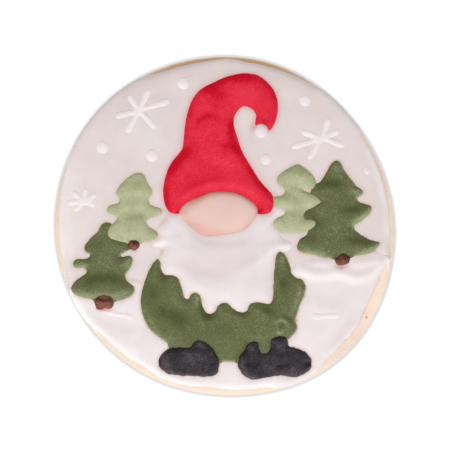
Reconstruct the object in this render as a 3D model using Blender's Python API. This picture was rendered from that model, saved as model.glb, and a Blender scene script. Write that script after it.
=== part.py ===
"""A round butter cookie, iced with a bearded folk gnome among fir trees in the snow.

The cookie lies flat with its iced side up. The icing is a set of separate pools, each poured straight onto
the cookie and standing beside its neighbours, with piped snowflakes, dots and strokes on top of the white.
Sizes are in millimetres on the cookie's top, +X to the right of the picture and +Y towards the gnome's hat,
and each mesh is written in metres.
"""

import math

import bmesh
import bpy
from mathutils import Vector
from mathutils.geometry import delaunay_2d_cdt, intersect_point_line

MM = 0.001

# The cookie: a cut round that spread unevenly in the oven.
COOKIE_RADIUS = 42.66
COOKIE_LOBES = (  # waves round, height, bearing
    (1, 0.59, -85), (2, 0.70, -47), (3, 0.30, -41), (4, 0.16, -41), (5, 0.07, 14), (6, 0.10, 9),
)
COOKIE_THICKNESS = 7.0
COOKIE_TOP_ROUNDING = 1.5
COOKIE_BOTTOM_ROUNDING = 0.8
COOKIE_SIDES = 80

# The icing, measured up from the cookie's top.
GAP = 0.3  # clearance between two pieces that touch on the real cookie
SHOULDER = 1.5  # how far in from its edge a pool reaches its full thickness
EDGE_SHARE = 0.45  # height of a pool's edge as a share of its thickness
SKY_THICKNESS = 1.5
SNOW_THICKNESS = 1.7
BEARD_THICKNESS = 2.2
FIGURE_THICKNESS = 2.4
NOSE_THICKNESS = 3.2
PIPING_THICKNESS = 0.8
OUTLINE_STEP = 1.1  # longest edge along an outline
RING_INSET = 0.5  # where a ring of points follows the outline to shape the shoulder
CELL = 3.0  # distance between the points inside a pool
RIM_STEP = 3.5  # degrees between the points where a pool follows the cookie's rim

# White pools: how far each edge stays in from the cookie's rim, as (bearing in degrees, inset).
SKY_RIM = (
    (-12, 1.3), (0, 1.5), (10, 1.35), (17, 1.15), (26, 1.0), (31, 0.6), (36, 0.1), (54, 0.05), (60, 0.75),
    (69, 1.15), (77, 1.2), (83, 1.25), (86, 0.9), (90, 0.8), (97, 1.15), (104, 1.25), (111, 1.2),
    (116, 0.7), (121, 0.1), (150, 0.05), (160, 0.5), (170, 0.85), (180, 1.0), (190, 1.1), (197, 0.8),
    (202, 0.3),
)
SNOW_RIM = (
    (203, 0.3), (207, 0.05), (213, 0.2), (218, 0.8), (222, 1.45), (226, 1.65), (233, 1.7), (240, 2.0),
    (247, 1.3), (253, 1.4), (260, 1.7), (265, 2.2), (270, 1.9), (277, 1.75), (284, 1.6), (288, 0.8),
    (293, 0.5), (299, 0.8), (302, 1.1), (305, 1.85), (308, 2.5), (312, 2.7), (316, 3.0), (319, 2.7),
    (324, 2.8), (329, 3.3), (335, 3.1), (342, 2.6), (346, 1.7), (348, 1.3),
)

# Where no edge shows, a white pool's outline runs hidden under the figures that cut it.
SKY_HIDDEN = (
    (-38.0, -15.6), (-33.0, -14.5), (-31.0, -10.0), (-30.0, -3.0), (-24.0, -2.0), (-22.0, 0.0), (-18.0, -2.5),
    (-16.0, -1.5), (-14.0, 2.0), (-13.5, 5.0), (-8.0, 14.0), (-2.0, 28.0), (3.0, 14.0), (10.6, 6.0),
    (14.5, 6.4), (16.5, 8.0), (18.5, 9.6), (20.6, 10.2), (22.9, 10.15), (24.8, 9.4), (27.5, 4.0), (30.0, -4.0),
    (36.0, -5.8), (38.0, -8.5),
)
SNOW_HIDDEN = (
    (40.2, -8.1), (38.2, -7.3), (35.5, -7.4), (33.0, -7.7), (31.0, -6.5), (26.0, -6.6), (24.0, -7.4),
    (22.6, -8.6), (21.0, -8.6), (19.5, -9.0), (18.2, -9.6), (17.3, -10.5), (17.0, -11.6), (16.2, -13.0),
    (15.0, -20.0), (12.5, -28.0), (13.5, -30.5), (12.0, -34.5), (5.0, -34.5), (3.0, -32.6), (1.0, -32.2),
    (-1.5, -32.2), (-4.0, -33.5), (-13.5, -33.5), (-12.0, -30.0), (-13.0, -26.0), (-17.0, -18.0),
    (-18.6, -14.4), (-20.6, -14.1), (-21.8, -13.7), (-23.2, -13.4), (-24.8, -13.0), (-27.0, -13.5),
    (-30.0, -15.5), (-35.0, -15.8), (-38.2, -16.2),
)
SKY_LEFT = (
    (-22.6, -5.0), (-21.0, -3.0), (-19.0, -2.8), (-17.0, -3.4), (-16.2, -4.8), (-15.4, -6.2), (-15.6, -8.2),
    (-17.2, -10.0), (-18.6, -12.6), (-19.0, -14.6), (-21.6, -14.4), (-24.8, -13.8), (-27.0, -12.6),
    (-28.0, -10.0), (-28.4, -7.6), (-26.0, -6.0), (-24.4, -5.6),
)
SKY_RIGHT = (
    (12.6, -1.4), (16.0, -0.8), (21.5, -1.0), (22.5, -3.0), (21.0, -5.4), (22.6, -7.3), (22.0, -9.2),
    (18.6, -10.2), (17.0, -11.8), (14.8, -9.0), (14.0, -6.8), (13.6, -4.0),
)

# The gnome.
HAT = (
    (-13.7, 2.9), (-14.8, 4.4), (-15.5, 7.4), (-15.3, 10.6), (-14.1, 14.5), (-12.4, 17.0), (-10.7, 19.1),
    (-10.3, 22.4), (-9.7, 27.0), (-8.3, 31.2), (-6.1, 34.0), (-3.0, 35.6), (-0.2, 36.9), (2.4, 37.6),
    (5.0, 37.9), (8.2, 37.4), (10.6, 35.6), (12.4, 33.3), (13.2, 30.3), (12.9, 27.0), (12.0, 24.8),
    (11.2, 23.5), (9.6, 23.8), (8.0, 23.6), (7.0, 24.0), (7.5, 26.0), (7.8, 27.6), (6.9, 29.0), (5.1, 29.8),
    (3.4, 29.1), (2.3, 27.3), (2.1, 25.2), (2.9, 22.4), (4.3, 18.3), (6.2, 15.1), (8.6, 11.2), (10.3, 9.3),
    (11.8, 7.6), (12.25, 5.8), (11.9, 4.1), (11.2, 2.9), (8.7, 2.7), (7.0, 4.0), (-1.0, 6.8), (-9.0, 4.6),
    (-12.0, 3.0),
)
BOBBLE_CENTRE, BOBBLE_RADIUS = (9.0, 23.6), 1.85
NOSE = (
    (-11.9, 2.9), (-10.9, 4.6), (-9.3, 6.0), (-6.0, 7.3), (-3.8, 8.25), (-1.0, 8.5), (2.0, 8.3), (4.2, 7.6),
    (6.4, 6.2), (8.0, 4.7), (8.4, 3.4), (7.8, 2.0), (6.6, 0.3), (5.0, -1.3), (2.4, -2.1), (-1.0, -2.6),
    (-4.0, -2.95), (-6.6, -2.3), (-8.8, -0.5), (-10.4, 1.2),
)
BEARD = (
    (-13.8, 3.2), (-14.8, 2.0), (-16.0, 0.3), (-16.8, -1.2), (-16.7, -2.9), (-17.6, -4.1), (-18.2, -4.8),
    (-17.3, -5.3), (-16.2, -5.3), (-15.6, -6.2), (-16.1, -7.6), (-17.0, -10.0), (-16.5, -14.0),
    (-12.0, -17.5), (-6.0, -23.0), (0.0, -23.0), (6.0, -23.0), (12.6, -21.0), (13.6, -14.0), (13.8, -8.0),
    (13.9, -6.4), (15.6, -6.1), (16.5, -5.3), (16.5, -4.5), (15.4, -4.0), (14.2, -3.5), (13.0, -2.2),
    (12.2, -0.8), (12.6, 1.6), (13.8, 2.6), (14.0, 4.0), (12.6, 4.6), (11.0, 4.2), (8.0, 4.0), (-1.0, 4.0),
    (-11.5, 4.0),
)
TROUSERS = (
    (-16.8, -8.3), (-18.1, -9.7), (-19.4, -12.3), (-20.6, -15.8), (-21.05, -19.0), (-20.6, -22.3),
    (-19.0, -25.8), (-16.6, -27.9), (-14.4, -29.5), (-13.6, -31.0), (-8.0, -32.0), (-3.0, -33.0),
    (-1.4, -34.0), (1.0, -34.1), (3.2, -34.0), (5.0, -33.2), (12.0, -33.0), (13.5, -29.2), (15.8, -28.2),
    (17.4, -27.0), (18.0, -25.4), (17.5, -24.0), (17.9, -22.4), (18.7, -19.6), (19.8, -17.6), (20.15, -15.4),
    (19.3, -13.7), (17.6, -13.1), (16.6, -12.1), (16.2, -10.4), (15.5, -8.6), (14.6, -7.2), (13.8, -6.5),
    (12.9, -7.3), (12.4, -10.0), (12.1, -15.0), (11.9, -18.2), (11.2, -19.7), (9.6, -19.5), (7.6, -19.3),
    (6.2, -19.8), (5.5, -21.3), (4.7, -21.8), (3.2, -21.6), (1.8, -20.7), (0.7, -19.6), (-0.5, -19.4),
    (-1.7, -20.1), (-2.6, -21.7), (-3.8, -22.2), (-5.0, -21.6), (-5.8, -19.7), (-6.2, -17.7), (-7.4, -16.9),
    (-8.6, -17.4), (-9.3, -18.7), (-10.1, -18.2), (-10.9, -15.6), (-11.8, -13.3), (-13.3, -12.5),
    (-15.0, -12.4), (-16.0, -11.1), (-16.2, -9.4),
)
BOOT_LEFT = (
    (-16.7, -34.0), (-16.2, -32.7), (-14.9, -31.7), (-13.6, -30.7), (-11.0, -30.7), (-8.9, -30.6),
    (-7.7, -29.3), (-6.4, -28.7), (-5.0, -29.3), (-3.2, -30.8), (-2.0, -32.6), (-1.5, -34.4), (-1.8, -36.6),
    (-3.2, -37.7), (-7.0, -37.7), (-11.0, -37.5), (-14.4, -37.0), (-16.2, -35.7),
)
BOOT_RIGHT = (
    (3.2, -34.4), (3.6, -32.6), (4.9, -31.2), (5.8, -29.6), (7.2, -29.1), (8.3, -29.2), (8.5, -31.1),
    (9.3, -32.2), (10.7, -32.1), (11.3, -31.0), (11.5, -28.5), (12.9, -28.0), (14.3, -27.8), (15.5, -28.3),
    (15.8, -30.2), (17.6, -30.8), (19.8, -31.6), (21.3, -33.2), (21.5, -35.3), (20.0, -37.0), (17.4, -37.9),
    (13.5, -37.5), (9.8, -38.1), (6.6, -38.5), (4.5, -37.4), (3.4, -35.8),
)

# The fir trees and their trunks.
TREE_LEFT_PALE = (
    (-21.4, 13.1), (-20.3, 12.6), (-19.6, 10.8), (-18.4, 8.9), (-18.3, 7.6), (-19.2, 6.4), (-19.0, 5.2),
    (-17.5, 4.5), (-16.0, 4.1), (-15.7, 3.2), (-17.2, 2.2), (-19.2, 1.5), (-19.9, 0.7), (-18.8, -0.7),
    (-17.4, -1.5), (-16.5, -2.2), (-17.0, -3.4), (-18.8, -4.0), (-22.5, -4.1), (-26.2, -4.2), (-28.6, -3.4),
    (-29.6, -2.0), (-29.0, -0.5), (-27.3, 1.1), (-26.7, 2.0), (-28.2, 2.6), (-29.7, 3.4), (-29.3, 4.7),
    (-27.6, 5.2), (-26.1, 5.8), (-26.6, 7.0), (-27.4, 8.2), (-26.4, 9.8), (-24.4, 11.8), (-22.7, 12.9),
)
TREE_LEFT_DARK = (
    (-29.7, 0.8), (-28.8, 0.4), (-28.0, -1.5), (-26.0, -3.4), (-24.6, -4.9), (-24.2, -5.8), (-25.0, -6.8),
    (-26.4, -7.4), (-26.4, -8.1), (-25.2, -7.9), (-24.0, -7.6), (-23.1, -8.1), (-23.3, -9.8), (-24.2, -11.4),
    (-25.2, -12.8), (-24.6, -14.0), (-23.2, -15.0), (-22.5, -16.2), (-23.2, -17.6), (-25.4, -18.6),
    (-28.4, -19.0), (-32.0, -18.4), (-35.4, -18.2), (-37.6, -17.2), (-38.5, -15.7), (-37.6, -14.3),
    (-35.6, -12.7), (-34.3, -11.6), (-35.0, -10.8), (-37.2, -10.6), (-38.2, -9.6), (-37.3, -8.6),
    (-35.2, -8.5), (-33.6, -8.0), (-33.7, -7.1), (-35.0, -6.8), (-35.2, -5.4), (-33.8, -3.4), (-32.0, -1.8),
    (-31.0, 0.0),
)
TREE_RIGHT_PALE = (
    (18.2, 15.2), (19.4, 14.6), (21.2, 13.3), (22.4, 11.6), (22.7, 10.5), (22.4, 9.5), (21.7, 9.0),
    (20.8, 9.1), (19.9, 9.4), (19.2, 9.1), (19.6, 8.5), (20.7, 8.1), (22.4, 7.5), (24.2, 6.1), (22.6, 4.8),
    (20.5, 3.7), (19.6, 2.5), (20.2, 1.5), (21.8, 1.5), (22.8, 0.6), (21.8, -0.8), (19.6, -1.7), (17.0, -2.0),
    (14.4, -2.0), (12.9, -0.9), (11.9, 0.6), (12.9, 1.8), (14.7, 2.5), (15.1, 3.5), (13.8, 4.3), (12.3, 5.3),
    (12.7, 6.9), (14.4, 7.4), (15.1, 8.4), (14.2, 9.6), (13.0, 10.8), (13.3, 12.4), (15.0, 13.6), (16.8, 14.7),
)
TREE_RIGHT_DARK = (
    (27.9, 16.3), (28.8, 15.7), (29.7, 13.8), (31.2, 11.7), (32.8, 9.8), (34.5, 8.5), (34.0, 7.3),
    (32.5, 6.6), (33.4, 5.8), (35.4, 5.1), (36.8, 4.4), (36.0, 2.8), (34.0, 1.1), (32.3, 0.1), (32.2, -1.1),
    (34.0, -2.5), (36.4, -3.8), (38.7, -4.4), (37.8, -5.8), (36.2, -7.0), (33.0, -7.6), (29.4, -8.0),
    (25.0, -8.2), (21.6, -7.2), (18.9, -6.8), (17.8, -5.6), (18.5, -3.8), (20.8, -2.4), (22.6, -0.8),
    (22.9, 1.4), (21.4, 1.2), (20.0, 1.6), (19.7, 2.8), (21.2, 3.8), (23.4, 5.2), (23.6, 6.4), (21.6, 8.1),
    (22.5, 9.0), (23.3, 9.8), (24.0, 11.0), (25.0, 12.6), (26.6, 15.3),
)
TRUNK_LEFT_PALE = (
    (-24.4, -4.8), (-23.7, -3.8), (-22.3, -3.7), (-21.3, -4.5), (-21.7, -5.8), (-22.9, -6.2), (-24.1, -5.8),
)
TRUNK_LEFT_DARK = (
    (-32.6, -18.6), (-31.4, -17.8), (-29.2, -17.8), (-28.0, -18.8), (-28.4, -20.6), (-30.2, -20.8),
    (-32.0, -20.9),
)
TRUNK_RIGHT_DARK = (
    (27.4, -8.6), (28.4, -7.5), (30.2, -7.3), (31.5, -8.2), (30.8, -9.4), (29.2, -10.1), (27.8, -9.8),
)

# Piping on the white: snowflakes as (centre, half-width, arms), each arm as (bearing, length).
SNOWFLAKES = {
    "snowflake_left": (
        (-21.3, 28.6), 0.62, ((17.7, 7.5), (64.4, 5.3), (122.6, 4.3), (194.5, 5.6), (240.9, 5.9), (313.5, 5.6)),
    ),
    "snowflake_right": (
        (24.3, 21.8), 0.62, ((21.3, 4.4), (71.0, 5.0), (163.3, 5.2), (196.8, 7.6), (237.0, 6.1), (340.3, 5.6)),
    ),
    "snowflake_small": (
        (-35.4, 6.1), 0.5, ((24.4, 3.5), (77.9, 2.9), (144.9, 3.2), (191.0, 4.1), (230.8, 3.4), (334.3, 3.1)),
    ),
}
SNOW_DOTS = (
    ((-10.4, 35.4), 1.3), ((-30.7, 19.4), 1.35), ((-18.3, 17.3), 1.35), ((20.0, 31.1), 1.25),
    ((10.2, 16.4), 1.15), ((35.6, 13.6), 0.9),
)
SNOW_STROKES = {  # from, to, half-width
    "snow_stroke_left": ((-29.0, -22.3), (-23.6, -23.4), 0.5),
    "snow_stroke_right": ((22.0, -23.0), (28.2, -22.8), 0.55),
}

# Ridges that the icing set in, as (extra height, points along the crest).
SNOW_DRIFT = (
    0.7,
    ((18.6, -11.6), (21.4, -12.2), (25.0, -12.6), (28.2, -12.0), (31.4, -12.8), (34.6, -12.7), (38.2, -11.2)),
)
BEARD_LEFT_LOCK = (0.35, ((-16.0, -4.6), (-13.4, -4.8), (-10.6, -5.2), (-7.8, -5.8), (-5.2, -6.8)))
BEARD_RIGHT_LOCK = (0.35, ((14.8, -5.2), (12.4, -6.6), (10.2, -8.0), (8.0, -10.0)))
BEARD_HEM = (0.2, ((-8.0, -14.4), (-5.0, -16.4), (-1.6, -17.0), (2.0, -17.2), (5.4, -16.8), (8.6, -15.8)))
HAT_BRIM = (
    0.3,
    (
        (-12.9, 4.6), (-11.6, 6.4), (-9.6, 7.8), (-7.0, 9.0), (-4.0, 9.8), (-1.0, 10.0), (2.0, 9.8), (5.0, 8.9),
        (7.4, 7.4), (9.4, 5.6), (10.6, 4.3),
    ),
)

# Colours as linear red, green and blue.
BISCUIT = (0.80, 0.58, 0.36)
WHITE_ICING = (0.84, 0.76, 0.75)
RED_ICING = (0.62, 0.02, 0.04)
SKIN_ICING = (0.74, 0.52, 0.44)
PALE_GREEN_ICING = (0.37, 0.41, 0.23)
DARK_GREEN_ICING = (0.11, 0.14, 0.06)
BLACK_ICING = (0.035, 0.03, 0.035)
BROWN_ICING = (0.15, 0.05, 0.035)


def material(name, colour, roughness):
    made = bpy.data.materials.new(name)
    made.use_nodes = True
    shader = made.node_tree.nodes["Principled BSDF"]
    shader.inputs["Base Color"].default_value = (*colour, 1.0)
    shader.inputs["Roughness"].default_value = roughness
    shader.inputs["Metallic"].default_value = 0.0
    return made


def rim_radius(bearing):
    """The cookie's radius at a bearing in degrees from +X."""
    radius = COOKIE_RADIUS
    for count, height, crest in COOKIE_LOBES:
        radius += height * math.cos(math.radians(count * (bearing - crest)))
    return radius


def polar(centre, radius, bearing):
    angle = math.radians(bearing)
    return centre[0] + radius * math.cos(angle), centre[1] + radius * math.sin(angle)


def smooth(points, step=OUTLINE_STEP):
    """A closed curve through the points, as points at most about a step apart."""
    knots = [Vector(p) for p in points]
    curve = []
    for i, here in enumerate(knots):
        before, ahead, beyond = knots[i - 1], knots[(i + 1) % len(knots)], knots[(i + 2) % len(knots)]
        pieces = max(1, round((ahead - here).length / step))
        leaving, arriving = (ahead - before) / 2, (beyond - here) / 2
        for k in range(pieces):
            t = k / pieces
            curve.append(
                here * (2 * t**3 - 3 * t**2 + 1)
                + leaving * (t**3 - 2 * t**2 + t)
                + ahead * (3 * t**2 - 2 * t**3)
                + arriving * (t**3 - t**2)
            )
    return curve


def along_rim(edge):
    """A pool's edge that keeps the given insets from the cookie's rim, with a point every few degrees."""
    points = []
    for (bearing, inset), (following, next_inset) in zip(edge, edge[1:] + edge[-1:]):
        pieces = max(1, round((following - bearing) / RIM_STEP))
        for k in range(pieces):
            here = bearing + (following - bearing) * k / pieces
            points.append(polar((0, 0), rim_radius(here) - inset - (next_inset - inset) * k / pieces, here))
    return [Vector(p) for p in points]


def area_of(outline):
    return sum(a.cross(b) for a, b in zip(outline, outline[1:] + outline[:1])) / 2


def anticlockwise(outline):
    return outline if area_of(outline) > 0 else outline[::-1]


def distance_to(outline, point):
    """The shortest distance from a point to an outline."""
    shortest = math.inf
    for a, b in zip(outline, outline[1:] + outline[:1]):
        nearest, share = intersect_point_line(point, a, b)
        ends = a if share < 0 else b if share > 1 else nearest.to_2d()
        shortest = min(shortest, (point - ends).length)
    return shortest


def is_inside(outline, point):
    crossings = 0
    for a, b in zip(outline, outline[1:] + outline[:1]):
        if (a.y > point.y) != (b.y > point.y):
            crossings += point.x < a.x + (point.y - a.y) * (b.x - a.x) / (b.y - a.y)
    return crossings % 2 == 1


def beside(outline, reach):
    """The outline moved outwards by a reach, or inwards by a negative one, with no loops at tight corners."""
    moved = []
    for before, here, ahead in zip(outline[-1:] + outline[:-1], outline, outline[1:] + outline[:1]):
        sides = [Vector((along.y, -along.x)).normalized() for along in (here - before, ahead - here)]
        out = (sides[0] + sides[1]).normalized()
        there = here + out * reach / max(out.dot(sides[0]), 0.4)
        if distance_to(outline, there) > 0.93 * abs(reach):
            moved.append(there)
    return moved


def dome(depth, thickness, shoulder):
    """Height of a pool's surface at a distance in from its edge: a rounded shoulder and a level middle."""
    climb = math.sqrt(1 - (1 - min(depth / shoulder, 1)) ** 2)
    return thickness * (EDGE_SHARE + (1 - EDGE_SHARE) * climb)


def points_inside(outline, cell):
    """A ring just inside the outline and an even field of points in the middle."""
    ring = [p for p in beside(outline, -RING_INSET) if is_inside(outline, p)]
    low = Vector((min(p.x for p in outline), min(p.y for p in outline)))
    high = Vector((max(p.x for p in outline), max(p.y for p in outline)))
    rows = int((high.y - low.y) / (cell * 0.866)) + 1
    columns = int((high.x - low.x) / cell) + 2
    field = [
        low + Vector(((column + 0.5 * (row % 2)) * cell, row * cell * 0.866))
        for row in range(rows)
        for column in range(columns)
    ]
    return ring + [p for p in field if is_inside(outline, p) and distance_to(outline, p) > 0.5 * cell]


def new_object(name, mesh, collection, finish=None):
    obj = bpy.data.objects.new(name, mesh)
    collection.objects.link(obj)
    if finish:
        mesh.materials.append(finish)
    return obj


def pool(name, outline, base, thickness, collection, finish, shoulder=SHOULDER, inner=None, ridges=()):
    """A pool of icing: the outline filled with a net of triangles, raised into a dome over a flat underside.

    The net's points inside the outline may be given, and it takes in the crests of the ridges."""
    outline = anticlockwise(outline)
    crests = [(Vector(point), extra) for extra, points in ridges for point in points]
    if inner is None:
        inner = points_inside(outline, CELL)
    inner = [p for p in inner if all((p - crest).length > 1.2 for crest, _ in crests)]
    inner += [crest for crest, _ in crests]
    spots, _, faces, *_ = delaunay_2d_cdt(outline + inner, [], [list(range(len(outline)))], 1, 1e-4)
    bm = bmesh.new()
    corners = [bm.verts.new((p.x * MM, p.y * MM, base * MM)) for p in spots]
    for face in faces:
        bm.faces.new([corners[i] for i in face])
    under = bm.faces[:]
    lifted = bmesh.ops.extrude_face_region(bm, geom=under)["geom"]
    for vert in lifted:
        if isinstance(vert, bmesh.types.BMVert):
            spot = vert.co.to_2d() / MM
            height = dome(distance_to(outline, spot), thickness, shoulder)
            height += sum(extra for crest, extra in crests if (spot - crest).length < 0.01)
            vert.co.z += height * MM
    level = [f for f in bm.faces if all(abs(v.co.z - base * MM) < 1e-7 for v in f.verts)]
    bmesh.ops.dissolve_faces(bm, faces=level)
    bmesh.ops.recalc_face_normals(bm, faces=bm.faces[:])
    mesh = bpy.data.meshes.new(name)
    bm.to_mesh(mesh)
    bm.free()
    return new_object(name, mesh, collection, finish)


def cutter(name, outline, collection):
    """A block with the outline grown by the gap, tall enough to cut through any pool."""
    corners = beside(anticlockwise(outline), GAP)
    curve = bpy.data.curves.new(f"cut_{name}", "CURVE")
    curve.dimensions = "2D"
    curve.fill_mode = "BOTH"
    curve.extrude = 5 * MM
    spline = curve.splines.new("POLY")
    spline.points.add(len(corners) - 1)
    for point, corner in zip(spline.points, corners):
        point.co = (corner.x * MM, corner.y * MM, 0, 1)
    spline.use_cyclic_u = True
    drawn = new_object(curve.name, curve, collection)
    drawn.location.z = (COOKIE_THICKNESS + 2) * MM
    bpy.context.view_layer.update()
    evaluated = drawn.evaluated_get(bpy.context.evaluated_depsgraph_get())
    mesh = bpy.data.meshes.new_from_object(evaluated)
    bm = bmesh.new()
    bm.from_mesh(mesh)
    bmesh.ops.remove_doubles(bm, verts=bm.verts[:], dist=0.01 * MM)
    bmesh.ops.recalc_face_normals(bm, faces=bm.faces[:])
    bm.to_mesh(mesh)
    bm.free()
    block = new_object(f"cutter_{name}", mesh, collection)
    block.matrix_world = drawn.matrix_world.copy()
    block.hide_render = True
    block.display_type = "WIRE"
    bpy.data.objects.remove(drawn)
    return block


def reach_of(outline, axis):
    return min(p[axis] for p in outline) - GAP, max(p[axis] for p in outline) + GAP


def boxes_meet(a, b):
    spans = [(reach_of(a, axis), reach_of(b, axis)) for axis in (0, 1)]
    return all(one[0] < other[1] and other[0] < one[1] for one, other in spans)


def pools_side_by_side(drawn, collection, cutters):
    """Pours the pools in order, and cuts each back from those before it, as icing stops at set icing."""
    base = COOKIE_THICKNESS + GAP
    poured = []
    for name, outline, thickness, finish, extra in drawn:
        made = pool(name, outline, base, thickness, collection, finish, **extra)
        for other_name, other_outline, block in poured:
            if boxes_meet(outline, other_outline):
                cut = made.modifiers.new(f"beside_{other_name}", "BOOLEAN")
                cut.operation = "DIFFERENCE"
                cut.solver = "EXACT"
                cut.object = block
        poured.append((name, outline, cutter(name, outline, cutters)))
    return poured


def round_outline(centre, radius, corners):
    return [Vector(polar(centre, radius, 360 * k / corners)) for k in range(corners)]


def star_outline(centre, half_width, arms):
    """A snowflake from above: round-ended arms that meet in a small web round the centre."""
    outline = []
    for (bearing, length), (following, _) in zip(arms, arms[1:] + ((arms[0][0] + 360, 0),)):
        tip = polar(centre, length - half_width, bearing)
        outline += [polar(tip, half_width, bearing + turn) for turn in (-90, -35, 35, 90)]
        between = (following - bearing) / 2
        outline.append(polar(centre, 1.1 * half_width / math.sin(math.radians(between)), bearing + between))
    return [Vector(p) for p in outline]


def star_spine(centre, half_width, arms):
    """Points along the middle of a snowflake's arms."""
    spine = [Vector(centre)]
    for bearing, length in arms:
        reach = length - half_width
        spine += [Vector(polar(centre, share * reach, bearing)) for share in (0.35, 0.68, 1)]
    return spine


def stroke_outline(start, end, half_width):
    """A piped stroke from above: a bar with round ends."""
    along = Vector(end) - Vector(start)
    bearing = math.degrees(math.atan2(along.y, along.x))
    turns = (-90, -45, 0, 45, 90)
    return [Vector(polar(end, half_width, bearing + t)) for t in turns] + [
        Vector(polar(start, half_width, bearing + 180 + t)) for t in turns
    ]


def piping(collection, finish):
    """The snowflakes, dots and strokes that stand on the white icing."""
    on_sky = COOKIE_THICKNESS + GAP + SKY_THICKNESS + GAP
    on_snow = COOKIE_THICKNESS + GAP + SNOW_THICKNESS + GAP
    for name, star in SNOWFLAKES.items():
        half_width = star[1]
        spine = star_spine(*star)
        pool(name, star_outline(*star), on_sky, PIPING_THICKNESS, collection, finish, half_width, spine)
    for number, (centre, radius) in enumerate(SNOW_DOTS, start=1):
        inner = round_outline(centre, 0.55 * radius, 8) + [Vector(centre)]
        outline = round_outline(centre, radius, 14)
        pool(f"snow_dot_{number}", outline, on_sky, PIPING_THICKNESS, collection, finish, radius, inner)
    for name, (start, end, half_width) in SNOW_STROKES.items():
        spine = [Vector(start).lerp(Vector(end), share) for share in (0, 0.33, 0.67, 1)]
        outline = stroke_outline(start, end, half_width)
        pool(name, outline, on_snow, PIPING_THICKNESS, collection, finish, half_width, spine)


def cookie(collection, finish):
    """The baked cookie: a thick disc with soft rims, warped to its uneven outline."""
    bm = bmesh.new()
    radius = COOKIE_RADIUS * MM
    thickness = COOKIE_THICKNESS * MM
    bmesh.ops.create_cone(
        bm, cap_ends=True, segments=COOKIE_SIDES, radius1=radius, radius2=radius, depth=thickness
    )
    bmesh.ops.translate(bm, verts=bm.verts[:], vec=(0, 0, thickness / 2))
    for height, rounding, segments in ((thickness, COOKIE_TOP_ROUNDING, 3), (0, COOKIE_BOTTOM_ROUNDING, 2)):
        rim = [e for e in bm.edges if all(abs(v.co.z - height) < 1e-6 for v in e.verts)]
        bmesh.ops.bevel(
            bm, geom=rim, offset=rounding * MM, segments=segments, profile=0.5, affect="EDGES", material=-1
        )
    for vert in bm.verts:
        bearing = math.degrees(math.atan2(vert.co.y, vert.co.x))
        spread = rim_radius(bearing) / COOKIE_RADIUS
        vert.co.x *= spread
        vert.co.y *= spread
    mesh = bpy.data.meshes.new("cookie")
    bm.to_mesh(mesh)
    bm.free()
    return new_object("cookie", mesh, collection, finish)


def centre_on_origin(collection):
    """Hangs every piece on an empty that puts the middle of the cookie's box over the origin."""
    rim = [polar((0, 0), rim_radius(b), b) for b in (360 * k / COOKIE_SIDES for k in range(COOKIE_SIDES))]
    middle = [(min(p[i] for p in rim) + max(p[i] for p in rim)) / 2 * MM for i in (0, 1)]
    holder = bpy.data.objects.new("cookie_centre", None)
    bpy.context.scene.collection.objects.link(holder)
    holder.location = (-middle[0], -middle[1], 0)
    for obj in collection.all_objects:
        obj.parent = holder


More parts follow.
